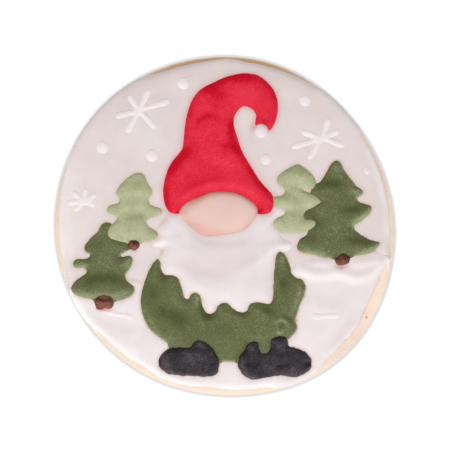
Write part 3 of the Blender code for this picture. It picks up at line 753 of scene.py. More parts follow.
def pipe(context, node, icing, height, width, spread, bulge, carrier, nudge=(0, 0), stretch=1.0):
    """One squeeze of piping in place of its CAD node, a little fatter, on the pool that carries it."""
    middle = sum(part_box(node), Vector()).to_2d() / 2 / MM
    place = middle + Vector(nudge)
    drawn = [softened(loop, least=0.25) for loop in outlines_of(node)]
    loops = [[place + (point - middle) * stretch for point in loop] for loop in drawn]
    groups = [loops] + patches_of(node)
    low = BISCUIT_TOP + PIPING_FOOT
    high = low + PIPING_BLOCK
    mesh = fattened(block(node, groups, low + spread * MM, high - spread * MM), PIPING_CELL, spread * MM)

    def surface(places):
        depths = []
        for group in groups:
            ways = joined(outward_of(loop) for loop in group)
            depths.append(depth_inside(places, joined(group), ways))
        share = climb(np.max(depths, axis=0) + spread, width, 0.0, bulge)
        return SURFACES[carrier](places) + (height * share - PIPING_SET) * MM

    shape_pool(mesh, low, high, surface)
    return icing_piece(context, node, mesh, finish_of(context, icing), "white_icing")


def painted_rim_highlight(node, slot, places):
    """How the colour changes along the pool's own open edge, most where it faces the lamp beyond the boots
    and the
    right: a painted highlight, partly thin icing at the edge.
    """
    amount, reach = RIMS[slot]
    earlier = tree_of(points_of(name for name in SURFACES if name != node) + [FAR_AWAY])
    corners, facing = [], []
    for loop in all_outlines()[node]:
        for point, way in zip(loop, outward_of(loop)):
            if earlier.find((*point, 0))[2] > 1:
                corners.append(point)
                facing.append(0.45 + 0.3 * way.x - 0.5 * way.y)
    number, gap = nearest(places, corners)
    lit = np.clip(np.array(facing)[number], 0, 1)
    return amount * fading(gap, reach) * lit * (1 + 0.8 * waves(places, 2.2, 9.0))


def icing_piece(context, node, mesh, finish, slot, passes=2):
    """The shaped mesh evened, finished, and set in the scene for its CAD node."""
    places = spots_of(mesh)[:, :2] / MM
    rusty = drawn_lines(places, STAINS["rusty"])
    bleed = 0.5 * fading(distances(places, points_of(["hat"])), BLEED_REACH, power=1.3)
    keep_amounts(mesh, "bleed", np.clip(bleed + 0.6 * rusty, 0, 1))
    # the shade amount: the listed lines of the icing's own tone, painted shade and painted highlight
    tone_and_painted_shade = drawn_lines(places, SHADES.get(node, ()))
    if slot == "white_icing" and node in POOLS:
        # the biscuit showing through at seams, with painted shade in some creases
        thin_and_crease_shade = rusty + drawn_lines(places, STAINS["tan_and_crease_shade"])
        for names, share in TINTED:
            beside = distances(places, points_of(names))
            thin_and_crease_shade = thin_and_crease_shade + share * (1 + waves(places, 1.6, 5.0)) * fading(beside, THIN_REACH)
            # painted shade along the seam with each of these pools
            tone_and_painted_shade += 0.55 * fading(beside, SEAM_REACH)
        keep_amounts(mesh, "thin", np.clip(thin_and_crease_shade, 0, 1))
    # painted highlight along the pool's open edges that face the lamp
    if slot in RIMS:
        tone_and_painted_shade += painted_rim_highlight(node, slot, places)
    keep_amounts(mesh, "shade", tone_and_painted_shade)
    bm = bmesh.new()
    bm.from_mesh(mesh)
    smooth(bm, passes)
    obj = set_in_scene(context, f"{node}_icing", written(bm, mesh), finish)
    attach(obj, "root")
    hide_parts(node)
    return obj


# ---------------------------------------------------------------- how each pool sets

# thickness in mm, width of its shoulder in mm, how gently the shoulder slopes, share of the thickness at an
# edge with a pool beside it, how far it sags towards the biscuit's rim in mm, height of its random swells in
# mm, and how many times its surface is evened
POOLS = {
    "nose": (2.9, 5.0, 0.5, 0.53, 0.0, 0.0, 24),
    "hat_bobble": (2.15, 2.0, 1.0, 0.74, 0.0, 0.0, 6),
    "boot_left": (2.35, 1.6, 0.6, 0.66, 0.0, 0.25, 2),
    "boot_right": (2.35, 1.6, 0.6, 0.66, 0.0, 0.25, 2),
    "trunk_left_pale": (2.3, 1.2, 0.6, 0.67, 0.0, 0.2, 1),
    "trunk_left_dark": (2.3, 1.2, 0.6, 0.67, 0.0, 0.2, 1),
    "trunk_right_dark": (2.3, 1.2, 0.6, 0.67, 0.0, 0.2, 1),
    "hat": (2.2, 2.4, 1.0, 0.71, 0.0, 0.08, 4),
    "trousers": (2.25, 2.0, 0.75, 0.69, 0.0, 0.16, 2),
    "tree_left_pale": (2.2, 2.2, 0.8, 0.7, 0.0, 0.1, 3),
    "tree_right_pale": (2.2, 2.2, 0.8, 0.7, 0.0, 0.1, 3),
    "tree_left_dark": (2.2, 2.2, 0.8, 0.7, 0.0, 0.12, 3),
    "tree_right_dark": (2.2, 2.2, 0.8, 0.7, 0.0, 0.12, 3),
    "beard": (1.95, 2.6, 1.0, 0.79, 0.0, 0.05, 6),
    "icing_snow": (1.6, 2.2, 1.0, 0.93, 0.3, 0.08, 5),
    "icing_sky": (1.45, 1.8, 0.5, 1.0, 0.35, 0.09, 4),
    "icing_sky_left": (1.45, 1.8, 0.5, 1.0, 0.3, 0.05, 4),
    "icing_sky_right": (1.45, 1.8, 0.5, 1.0, 0.3, 0.05, 4),
}

# ridges (height above 0) and hollows (below 0) in each pool: height in mm, reach to each side in mm, and the
# line it follows, in mm from the middle of the design
RELIEF = {
    "hat": (
        (0.22, 1.5, ((-12.8, 5.2), (-10.3, 8.6), (-6, 10.6), (-2, 11.5), (2, 11.5), (5.2, 10.6),
            (8.6, 8.0), (11, 5))),
        (0.16, 1.6, ((-8.4, 22), (-6.6, 24.2), (-4.4, 25.2), (-1.6, 25))),
        (-0.12, 1.4, ((-7.4, 27.4), (-4.6, 28.4), (-1.4, 28.6))),
        (0.16, 2.0, ((-6.6, 30.2), (-3, 30.4), (0, 31))),
        (0.2, 2.0, ((-12, 12.6), (-9.4, 14.6), (-6, 15.4))),
        (0.14, 1.6, ((-1.6, 17.2), (1.4, 17.6), (3.6, 16.6))),
        (-0.14, 1.2, ((-1.4, 20.6), (0.8, 20.8), (2.8, 20.4))),
        (0.2, 2.4, ((1.5, 31), (5, 32), (8.4, 30.8), (10.4, 28.6))),
    ),
    "beard": (
        (0.34, 1.1, ((-18.2, -4.1), (-16, -3.8), (-14, -4.3))),
        (0.18, 1.8, ((-13, -5.6), (-9.5, -6.4), (-6, -7.0), (-2.4, -7.2))),
        (-0.22, 1.0, ((-17, -6.6), (-14.6, -7.0))),
        (0.3, 1.6, ((17.6, -4.9), (15.6, -5.2), (13, -6.2), (11, -7.6), (8.6, -9.0), (6, -10.6),
            (3.6, -11.6))),
        (-0.22, 1.2, ((13.6, -3.4), (11, -4.0), (8.6, -4.6))),
        (-0.24, 2.4, ((-8.4, -10.4), (-4, -11), (0.4, -12.4))),
        (-0.12, 1.8, ((1.4, -13), (4.4, -14))),
        (0.12, 2.4, ((-11, -14.6), (-6, -16.6), (0, -17.6), (5, -16.6), (9.4, -15))),
        (0.3, 1.0, ((-13.2, 1.8), (-14, -0.4), (-15.6, -2.6))),
        (-0.2, 1.2, ((-12.2, -1.0), (-10.8, -3.4))),
        (0.28, 1.2, ((12.0, 1.0), (13.0, -1.2))),
        (-0.22, 1.4, ((-7, -3.0), (0, -4.4), (7, -3.2))),
    ),
    "trousers": (
        (0.35, 0.7, ((-7.7, -17.6), (-7.2, -20.4))),
        (-0.25, 0.6, ((-5.9, -18.8), (-5.8, -21))),
        (-0.25, 1.8, ((-12.6, -23.4), (-10, -23.8))),
        (0.2, 2.0, ((-19, -17), (-18.6, -22), (-16, -26))),
        (-0.3, 1.4, ((14.4, -13.2), (14.8, -15.8))),
        (-0.25, 1.0, ((8.6, -20.4), (10.4, -21.2), (12.4, -22.6))),
        (0.2, 1.4, ((17.6, -16), (17.8, -19), (16.8, -22))),
        (0.35, 0.6, ((12.6, -24.2), (13.6, -23.6), (14.8, -24), (16, -25.4), (15.8, -26.8))),
        (-0.3, 0.5, ((13.9, -25), (14.7, -25.1))),
        (0.35, 0.5, ((12.5, -26.5), (13.6, -27), (14.6, -26.4))),
        (0.3, 0.6, ((14.1, -7.8), (14.6, -9))),
        (0.2, 2.0, ((-4, -27), (2, -28.6), (7, -28.4))),
    ),
    "boot_left": (
        (0.3, 1.0, ((-15, -33.4), (-13, -35.6))),
        (-0.25, 1.0, ((-3.6, -33), (-3, -36))),
        (0.25, 1.2, ((-9.6, -34.6), (-7.4, -32.6))),
        (0.3, 0.6, ((-7.4, -29.4), (-5.2, -29.8))),
        (-0.25, 0.8, ((-8.6, -31), (-6, -30.8))),
    ),
    "boot_right": (
        (-0.9, 0.5, ((20.4, -34.9), (22.2, -34.4))),
        (0.3, 1.0, ((4.6, -33.8), (4.8, -36.6))),
        (0.3, 0.8, ((13.2, -29.2), (14.2, -30.8))),
        (-0.3, 0.9, ((12, -36), (14, -35.2), (16.4, -34.8))),
        (-0.25, 0.8, ((5.4, -34.8), (8.6, -34.6))),
        (0.3, 0.6, ((7, -29.6), (6.6, -31))),
    ),
    "icing_snow": (
        (0.42, 1.4, ((17, -11), (19.4, -11.4), (22.6, -12.4), (25.2, -12.3), (27.7, -11.8), (30, -12.3),
            (32.3, -13.1), (34.6, -13), (37, -12), (40.6, -8.8))),
        (0.3, 1.0, ((20.6, -9.4), (24, -9.2), (27, -9.8))),
        (0.3, 1.0, ((31.6, -10), (36, -9.2), (40, -8.2))),
        (-0.15, 2.2, ((20, -17.8), (26, -18.2), (31, -18))),
        (0.12, 2.6, ((22, -22), (28, -22.4))),
        (-0.15, 2.0, ((27, -29), (29.8, -26), (32.4, -22.4))),
        (0.16, 1.8, ((-33, -26.4), (-28, -29), (-24, -30.8), (-20, -30.8))),
        (-0.15, 1.8, ((-32, -22.6), (-26, -25), (-20, -26))),
    ),
    "icing_sky": (
        (0.25, 2.4, ((3.7, 38.4), (5, 38.2))),
        (-0.15, 2.6, ((-31, 16), (-26, 12))),
    ),
}

# where the colour is darker (above 0) or paler (below 0): partly the icing's own tone, and partly painted
# shade in hollows, creases, along seams and on slopes turned from the lamp, and painted highlight on slopes
# facing it;
# amount, reach to each side in mm, and the line
SHADES = {
    "hat": (
        (1.2, 1.6, ((-5.4, 33.8), (-3, 35.6), (0, 36.8), (4, 37.4), (8, 36.8))),
        (3.4, 0.4, ((8.2, 3.6), (8.6, 2.9))),
        (2.6, 0.3, ((-12.2, 3.4), (-11.9, 2.9))),
        (1.1, 1.5, ((-4.6, 33.6), (-2.8, 33.2), (-1.2, 32.6))),
        (0.5, 0.9, ((-2.8, 30.2), (-1.8, 29))),
        (0.6, 0.9, ((-8.6, 29.4), (-8.8, 27))),
        (0.9, 0.7, ((-7.4, 24.2), (-6.6, 26), (-5.4, 26.9), (-4, 27.3), (-2.2, 26.8))),
        (1.0, 1.0, ((1.6, 27), (1.5, 24), (1.4, 21.8), (2.6, 19.4), (4.4, 16.6))),
        (0.6, 0.6, ((-1.6, 19.9), (0.8, 19.9), (2.2, 19.2))),
        (1.1, 1.3, ((-8.2, 20.4), (-9.6, 18.4), (-11.2, 16.8), (-12.8, 14.6), (-14.4, 11.8))),
        (0.9, 0.9, ((-14.8, 10.4), (-14.6, 5), (-13.2, 3))),
        (0.4, 0.9, ((-10.6, 8.2), (-7, 10.4), (-3, 11.6), (0.8, 11.4))),
        (0.8, 1.0, ((4.8, 16), (8, 11.2), (10.8, 8), (12.4, 6))),
        (1.0, 0.8, ((8.8, 4.4), (9.4, 3.4))),
        (0.9, 0.8, ((7.6, 26.6), (10, 25.8), (11.8, 26.6))),
        (0.6, 1.0, ((8.4, 37.2), (11.8, 34.2), (13, 31), (12.8, 28.6))),
        (0.5, 0.7, ((-9.9, 24.6), (-10.2, 20.8))),
        (-0.5, 1.8, ((2.4, 33), (6, 33.4), (9, 31))),
        (-0.35, 2.0, ((-6, 16), (0, 15.6), (3, 13.6))),
        (-0.4, 1.6, ((-5.6, 23.4), (-2.6, 23.6))),
        (-0.4, 0.8, ((-11, 6), (-8, 8.6), (-3, 9.9), (2, 9.9), (6, 8.4), (8, 7))),
    ),
    "trousers": (
        (0.7, 1.8, ((-17.4, -21.4), (-14.4, -22.2), (-11.4, -23.2), (-8.8, -24))),
        (0.35, 1.6, ((-12.2, -23.4), (-11.2, -26.2))),
        (1.1, 1.0, ((-6, -21), (-4.6, -23), (-2.4, -22.8))),
        (0.7, 0.8, ((2.4, -21.6), (3.6, -21.8), (5.6, -22.8))),
        (1.1, 0.9, ((8.7, -20.3), (10.3, -21.1), (12.3, -22.4))),
        (1.1, 1.4, ((14.5, -13), (14.9, -15.8))),
        (0.7, 0.6, ((15.6, -9.2), (16.6, -11.9))),
        (1.0, 0.3, ((14, -22.4), (15.6, -23.1), (16.8, -24.4))),
        (0.9, 0.5, ((13.9, -25), (14.7, -25.1))),
        (0.9, 0.35, ((-6, -18.8), (-5.8, -21))),
        (0.35, 2.2, ((-17.8, -13.4), (-18, -19))),
        (0.7, 1.2, ((-16, -11.4), (-15, -14.6))),
        (0.3, 1.6, ((-19.6, -16.6), (-16.4, -17.8))),
        (0.2, 3.0, ((-6, -25.4), (2, -26))),
        (0.2, 2.0, ((12, -18), (13, -22))),
        (0.3, 1.8, ((-9, -27.6), (-5, -29))),
        (0.3, 1.6, ((3.6, -30.8), (6.8, -29))),
        (-0.2, 0.5, ((-19.9, -21), (-17.6, -26), (-14, -29.4))),
        (-0.7, 0.45, ((12.4, -26.5), (13.6, -27), (14.8, -26.2))),
        (-0.5, 0.5, ((12.4, -24.4), (13.6, -23.6), (15, -24.2), (16.2, -25.6))),
        (-0.5, 0.6, ((18.6, -14.6), (18.6, -17), (16.8, -22))),
        (-0.8, 0.45, ((-7.9, -18), (-7, -17.4), (-7.1, -20.6))),
        (-0.7, 0.5, ((14, -7.6), (14.6, -8.8))),
    ),
    "boot_left": (
        (0.9, 0.9, ((-8.6, -31), (-6, -30.8))),
        (1.0, 1.0, ((-3.4, -33.4), (-2.6, -36))),
        (0.6, 1.2, ((-13.6, -32), (-11, -32.2))),
        (0.5, 1.2, ((-12, -36), (-8, -36.2))),
        (-0.6, 1.0, ((-15, -33.4), (-13, -35.4))),
        (-0.5, 1.1, ((-9.6, -34.4), (-7.4, -33))),
        (-0.8, 0.4, ((-15, -36.2), (-12, -37.3), (-8, -37.7), (-3, -37.4))),
        (-0.5, 0.5, ((-7.4, -29.3), (-5.4, -29.6))),
    ),
    "boot_right": (
        (1.1, 0.8, ((5.2, -34.8), (6.2, -35.4))),
        (1.1, 0.8, ((8, -34.3), (8.6, -35))),
        (0.9, 0.8, ((12, -36), (14, -35.2), (16.4, -34.8))),
        (2.7, 0.32, ((20.5, -34.9), (22.2, -34.4))),
        (0.9, 0.7, ((19.6, -35), (21, -34.8))),
        (0.7, 0.5, ((12, -28.3), (15, -28.2))),
        (-0.7, 0.8, ((4, -33.8), (4.6, -36.2))),
        (-0.8, 0.4, ((3.8, -36.8), (6, -38.2), (9, -38.1))),
        (-0.6, 0.9, ((13, -29.6), (14.2, -31))),
        (-0.5, 0.7, ((7, -30.2), (6.4, -31.6))),
        (-0.8, 0.4, ((19.8, -33.5), (21.6, -33.8))),
    ),
    "tree_right_dark": (
        (1.0, 1.0, ((24, 10), (26.8, 10.4), (29.6, 10))),
        (1.0, 0.9, ((29, 3.8), (31.6, 3.8), (34.4, 3.8))),
        (0.9, 1.0, ((20.6, 2.8), (22.4, 1.4), (23.8, -0.6))),
        (0.9, 0.9, ((30, -3.4), (33, -4), (36.2, -4.6))),
        (0.5, 1.2, ((19.6, -3.4), (24, -3.2))),
        (-0.4, 1.2, ((27.6, 15.2), (28.4, 13))),
        (-0.7, 0.7, ((31.4, 8.2), (34, 8.2))),
        (-1.6, 1.1, ((35.6, 3), (34.2, 1.2), (32, 0.2))),
        (-0.8, 0.8, ((38.2, -4.8), (36.6, -6.2), (33.4, -7.2))),
        (-0.6, 0.8, ((18.6, -5.8), (22, -7), (26, -7.8))),
    ),
    "tree_left_dark": (
        (0.3, 1.2, ((-34, -5.4), (-30, -4.4))),
        (1.0, 1.3, ((-35.4, -14.8), (-31.8, -13.2), (-28.6, -13.2), (-25.6, -14.2))),
        (-0.2, 1.8, ((-31, -8.8), (-27, -9.6))),
        (0.4, 1.0, ((-27.6, -8.6), (-25, -7.8))),
        (-0.5, 1.0, ((-33.6, -2.6), (-31, 0))),
        (-0.6, 0.8, ((-37.6, -9.9), (-34, -10.4))),
        (-0.5, 0.9, ((-24.2, -8.6), (-24.8, -11))),
        (-0.7, 0.9, ((-37, -16.6), (-33.6, -17.8), (-28, -18), (-24, -16.8))),
    ),
    "tree_left_pale": (
        (0.8, 1.2, ((-23.6, 10.8), (-19.8, 10.8))),
        (0.6, 1.0, ((-26.2, 5.6), (-22, 5.9))),
        (0.9, 1.0, ((-24.4, 1.6), (-21.6, 2.2), (-19, 0.8))),
        (-0.5, 1.0, ((-26.4, 7.8), (-23, 7.6), (-19.4, 7.8))),
        (-0.5, 1.0, ((-28.4, 4), (-23, 4.2), (-17, 3.6))),
        (-0.35, 1.1, ((-28, -1.6), (-24, -2.4), (-18.4, -2.6))),
    ),
    "tree_right_pale": (
        (0.9, 1.3, ((15, 13.8), (18, 14.2), (20.8, 12.8))),
        (0.6, 1.0, ((14.4, 7.2), (17, 6.6), (19.6, 5.2))),
        (0.6, 0.9, ((15.8, 2.9), (18, 2.2))),
        (-0.5, 1.1, ((14.4, 10.8), (18, 11), (21.4, 10.4))),
        (-0.6, 0.8, ((13, 5.4), (17, 4.2), (23, 5.8))),
        (-0.5, 1.0, ((13, -0.6), (17, -1.4), (21.4, -0.2))),
    ),
    "nose": (
        (0.9, 0.75, ((-10.4, 1.6), (-8.4, -0.8), (-5, -3), (-1, -3.9), (3, -3.4), (7, -2), (9.6, 1.2))),
        (0.8, 1.5, ((-9.4, 1.6), (-8.4, 0.2), (-4.4, -1.8), (0, -2.6), (4, -2.2), (7.6, 0), (8.6, 1.6))),
        (1.25, 1.0, ((-9.4, 4.8), (-5, 7.6), (-1, 8.6), (4, 8.0), (8.6, 5.2))),
        (0.8, 1.3, ((-11, 2.4), (-9.6, 4))),
        (1.2, 1.5, ((10.2, 1.8), (8.8, 4.2))),
    ),
    "beard": (
        (0.6, 1.2, ((-8.6, -2.4), (-3, -4.6), (3, -4.4), (8.4, -2.4))),
        (0.5, 2.4, ((-9, -10.4), (-4, -11), (1, -12))),
        (0.8, 0.8, ((-18, -6.2), (-15.8, -6.6), (-14.4, -7.2))),
        (0.7, 1.2, ((-12.4, -0.6), (-11.2, -3))),
        (0.6, 1.2, ((8, -4.4), (11, -3.8), (14.4, -3.2))),
        (0.4, 2.2, ((-12, -8), (-8, -12))),
        (0.85, 4.8, ((-10, -8.6), (0, -9.6), (9, -9.0))),
        (0.5, 2.4, ((9.6, -12), (10.4, -15))),
        (-0.4, 0.9, ((-18.2, -4.1), (-13.4, -4.6))),
        (-0.45, 1.1, ((17, -5.4), (12, -7), (8, -9.4), (4.4, -11.4))),
        (-0.2, 2.2, ((-8, -15.6), (-1, -17), (6, -15.6))),
    ),
    "icing_snow": (
        (0.2, 1.2, ((19.6, -9.6), (22, -10.2), (25, -10.2), (28, -9.8))),
        (0.25, 1.2, ((30.4, -10.4), (34, -11), (37.6, -9.8))),
        (-0.4, 1.2, ((17.4, -11.8), (22, -13.2), (25, -13.2), (28, -12.7), (32.3, -14), (36.6, -13),
            (40.2, -9.6))),
        (0.3, 2.4, ((22, -17.6), (28, -18), (33, -17.6))),
        (0.8, 1.5, ((26.4, -31), (29, -27.4), (32.4, -22.6))),
        (-0.25, 1.6, ((21, -21.4), (27, -21.8))),
        (-0.35, 0.8, ((28, -32.6), (32.6, -27.4), (36.6, -20), (39.6, -13))),
        (-0.9, 1.5, ((-40.2, -14), (-37.6, -20), (-33.6, -26), (-28, -31.6), (-22.4, -35.2), (-16, -38.6))),
        (-0.3, 1.0, ((-14, -39.6), (-4, -41.2), (6, -41), (14, -39.2))),
        (0.4, 1.6, ((-34, -23), (-28, -25.4), (-21, -26))),
    ),
    "icing_sky": (
        (0.6, 2.2, ((-27, 31.6), (-21, 35.8), (-13, 39), (-5, 40.2))),
        (0.5, 2.2, ((8, 40), (16, 37.4), (23, 33.6))),
        (0.4, 2.6, ((-25, 29), (-19, 31))),
        (1.0, 0.9, ((19.6, 9.2), (21.8, 8.4))),
        (0.8, 0.8, ((7.3, 25.2), (6.9, 23.4), (6, 21.8))),
        (-0.8, 1.1, ((35.4, 20.2), (38.8, 12), (41.1, 3), (41.3, -4))),
        (0.35, 1.2, ((-26, 15.6), (-23.4, 16))),
        (0.35, 1.2, ((-13, 15), (-11, 15.4))),
        (0.3, 3.0, ((19, 27), (27, 27))),
        (-0.35, 2.0, ((-37.6, 14), (-39.6, 5), (-39.6, -4), (-38.6, -10))),
        (-0.4, 0.7, ((-38.6, 17), (-41, 8), (-41.4, 0), (-40.6, -10))),
        (-0.25, 1.8, ((-26, 1), (-28.4, 11))),
        (-0.15, 4.0, ((-24, 20), (-15, 24))),
    ),
    "trunk_right_dark": (
        (1.1, 0.7, ((28, -8.2), (29.6, -8), (30.8, -8.4))),
        (-0.5, 0.4, ((27.4, -9.2), (28.6, -10), (30.8, -9.6))),
    ),
    "trunk_left_dark": (
        (1.6, 0.45, ((-32, -18.6), (-30.4, -18.9), (-28.8, -18.7))),
        (-0.8, 0.25, ((-32, -17.9), (-30.4, -18.1), (-28.9, -18))),
        (-0.7, 0.3, ((-32, -19.5), (-30.4, -19.7), (-28.6, -19.5))),
        (-0.7, 0.45, ((-32, -20.4), (-28.6, -20.6))),
    ),
    "trunk_left_pale": (
        (1.0, 0.6, ((-23.2, -4.4), (-22.2, -4.6))),
        (-0.6, 0.45, ((-24, -5.6), (-22, -6))),
    ),
}

# bits of a pool that lie apart from it between two others: the corners of each, in mm from the middle of the
# design
PATCHES = {
    "icing_sky": (((18.9, 9.6), (20.4, 10.2), (22, 9.9), (23.4, 9.2), (22.4, 8.0), (20.8, 7.9),
        (19.4, 8.5)),),
    "icing_sky_right": (
        ((13.2, 4.2), (15.2, 4.4), (15.8, 2.8), (14.6, 1.6), (13.2, 2.4)),
        ((12.8, -0.2), (14.2, 0), (15, -1.8), (13.8, -2.8), (12.4, -1.8)),
        ((20.8, -6.6), (23.4, -7), (24, -8.6), (22.4, -9.2), (20.8, -8.4)),
        ((36.6, -6), (38.2, -6.4), (38, -7.8), (36, -7.6)),
        ((9.8, 26.6), (8.4, 26.4), (8.6, 24.8), (10, 25.4)),
    ),
    "snowflake_small": (
        ((-37.6, 5.9), (-36.6, 6.8), (-35, 7.3), (-33.8, 7.1), (-33.1, 6.1), (-33.8, 5.2), (-35.2, 5.1),
            (-36.6, 5.0)),
    ),
    "icing_sky_left": (
        ((-13.8, 4.2), (-12.4, 4.4), (-12.4, 2.6), (-14, 2.4)),
        ((-27.4, -7.2), (-25.6, -6.8), (-23.6, -7.6), (-25, -8.8), (-27.2, -8.6)),
    ),
}

# the white pools poured later, under which a pool runs out softly
WHITES = {
    "beard": ("icing_snow", "icing_sky", "icing_sky_left", "icing_sky_right"),
    "icing_snow": ("icing_sky", "icing_sky_left", "icing_sky_right"),
}
# how the colour changes along a pool's own open edge, most where it faces the lamp: deeper above 0, paler
# below it, a painted highlight partly from thin icing at the edge, and its reach in mm
RIMS = {
    "dark_green_icing": (-1.2, 0.3),
    "pale_green_icing": (-0.9, 0.3),
    "black_icing": (-0.7, 0.3),
    "red_icing": (-0.5, 0.25),
}
# the pools that white icing thins out beside, and how far the biscuit shows through there as a tan line that
# is partly painted contact shade; the white icing also gets painted shade along its seam with each of them
TINTED = (
    (("boot_left", "boot_right", "trousers"), 0.5),
    (("tree_left_dark", "tree_right_dark"), 0.5),
    (("tree_left_pale", "tree_right_pale"), 0.3),
    (("hat", "nose"), 0.0),
)
# places at the seams where the biscuit shows through, tan or rusty, the tan ones partly painted shade in
# creases
# and pockets: amount, reach in mm, and the line
STAINS = {
    "tan_and_crease_shade": (
        (0.5, 0.4, ((19.4, 8.9), (20.6, 8.5), (21.8, 8.3))),
        (0.5, 0.5, ((-14.8, -5.5), (-15.7, -6.3), (-16.5, -8.2))),
        (0.3, 0.9, ((-15.2, -5.8), (-13.6, -6.2))),
        (0.4, 0.4, ((-12.6, 3.2), (-11.8, 2.6))),
        (0.45, 0.55, ((-14.1, 2.5), (-15.5, 0.7), (-16.8, -1.1))),
        (0.45, 0.5, ((-25.4, -13.3), (-23, -13.8), (-20.4, -14.8))),
        (0.2, 0.8, ((-19.8, 31.0), (-17, 32.4))),
        (0.2, 0.7, ((-25.4, 29.6), (-23.2, 29.5))),
        (0.3, 0.5, ((6.9, 25.4), (6.6, 23.4))),
    ),
    "rusty": (
        (1.0, 0.45, ((17.7, -23.2), (17.6, -24.6))),
        (1.0, 0.4, ((15.6, -28.0), (16.2, -28.4))),
        (0.9, 0.3, ((14.3, -6.9), (15.4, -8.4))),
        (0.7, 0.3, ((36.8, -6.6), (37.6, -6.4))),
        (1.0, 0.35, ((-32.2, -21.1), (-28.4, -21.2))),
        (0.8, 0.35, ((27.6, -10.2), (29, -10.7), (30.6, -10.2))),
        (0.6, 0.3, ((-24, -6.2), (-22, -6.5))),
    ),
}
# brown flecks in the bare rim: where they lie in mm from the middle of the design, and their size in mm
SPECKS = ((35.4, -23.1, 0.35), (30.1, -28.7, 0.3), (32.0, -22.5, 0.25), (6.4, -41.0, 0.25),
    (-21.4, -36.2, 0.25))
# how ragged each pool's outline set, in mm
ROUGH = {
    "boot_left": 0.2,
    "boot_right": 0.2,
    "trunk_left_pale": 0.25,
    "trunk_left_dark": 0.25,
    "trunk_right_dark": 0.25,
    "trousers": 0.1,
    "tree_left_pale": 0.06,
    "tree_right_pale": 0.06,
    "tree_left_dark": 0.08,
    "tree_right_dark": 0.08,
    "beard": 0.06,
    "icing_snow": 0.12,
    "icing_sky": 0.05,
}
# the icings that dry matt: their colour for deep icing and for painted shade, their colour for sugar dust and
# for painted sheen, how mottled they are, the depth of their grain, how much sugar lies on them, and their
# gloss
MATT = {
    "red": ((0.56, 0.0, 0.016), (0.84, 0.05, 0.09), 0.3, 0.7, 0.3, 0.1),
    "pale_green": ((0.29, 0.315, 0.165), (0.50, 0.54, 0.35), 0.45, 0.7, 0.5, 0.2),
    "dark_green": ((0.062, 0.074, 0.025), (0.30, 0.33, 0.195), 0.14, 0.6, 0.18, 0.15),
    "black": ((0.006, 0.004, 0.006), (0.085, 0.07, 0.08), 0.7, 1.0, 0.6, 0.25),
    "brown": ((0.022, 0.008, 0.007), (0.28, 0.105, 0.07), 0.7, 1.0, 0.5, 0.2),
}
# the pale icing that isn't white: the colour bled into it, partly painted shade under the hat's brim, and how
# much of its own is left where its shade amount is full, partly its deeper tone and partly painted shade
PALE = {"skin": ((0.62, 0.20, 0.17), (0.86, 0.70, 0.675))}

# each squeeze of piping: its icing, its height, the width of its round shoulder and how far it swells past
# its outline, all in mm, how gently the shoulder slopes, the pool that carries it, its step sideways in mm,
# and its stretch
PIPING = {
    "snowflake_left": ("piped", 0.34, 1.2, 0.38, 1.2, "icing_sky", (-0.2, 0.1), 1.08),
    "snowflake_right": ("piped", 0.34, 1.2, 0.38, 1.2, "icing_sky", (-0.08, 0), 1.05),
    "snowflake_small": ("piped", 0.33, 1.8, 0.7, 1.0, "icing_sky", (0, 0.12), 1.0),
    **{f"snow_dot_{n}": ("piped", 0.42, 2.0, 0.68, 1.15, "icing_sky", (0, 0.08), 1.03) for n in range(1, 6)},
    "snow_dot_6": ("snow", 0.26, 2.0, 0.68, 1.2, "icing_sky", (0, 0.1), 1.0),
    "snow_stroke_left": ("piped", 0.24, 1.4, 0.55, 1.6, "icing_snow", (0, 0.4), 1.0),
    "snow_stroke_right": ("piped", 0.24, 1.4, 0.55, 1.6, "icing_snow", (0, 0.15), 1.0),
}

# the stage, in metres
FLOOR_REACH = 3.0  # half the width of the floor
FLOOR_DROP = 0.0001  # how far the floor lies under the biscuit's foot
CONTACT_REACH = 0.00165  # how far the shadow at the foot reaches
LAMP_WIDTH = 0.42
LAMP_PLACE = (-0.05, -0.28, 0.37)
LAMP_AIM = (0, 0, 0.008)
CAMERA_PLACE = (0.000276, 0.00006)  # where the camera stands over the cookie
ICING_LEVEL = 0.002  # the icing's height above the biscuit, from which the camera's distance is taken
SENSOR = 36  # the camera's sensor width, in mm

# filled while the cookie is made: each pool's outlines and surface, and each icing's material
OUTLINES = {}
SURFACES = {}
FINISHES = {}


# ---------------------------------------------------------------- operators


def sunk(vert):
    """How far the biscuit sinks in at a point of its skin, as a share of its unevenness."""
    place = vert.co / MM
    rough = noise.fractal(place / 2.2, 0.8, 2.1, 4)
    pit = max(0.0, noise.noise(place / 0.9) - 0.25)
    sink = (0.5 + 0.5 * rough) * 0.6 + 1.6 * pit
    if vert.normal.z < -0.7:
        sink *= 0.25
    return min(max(sink, 0), 1.5)


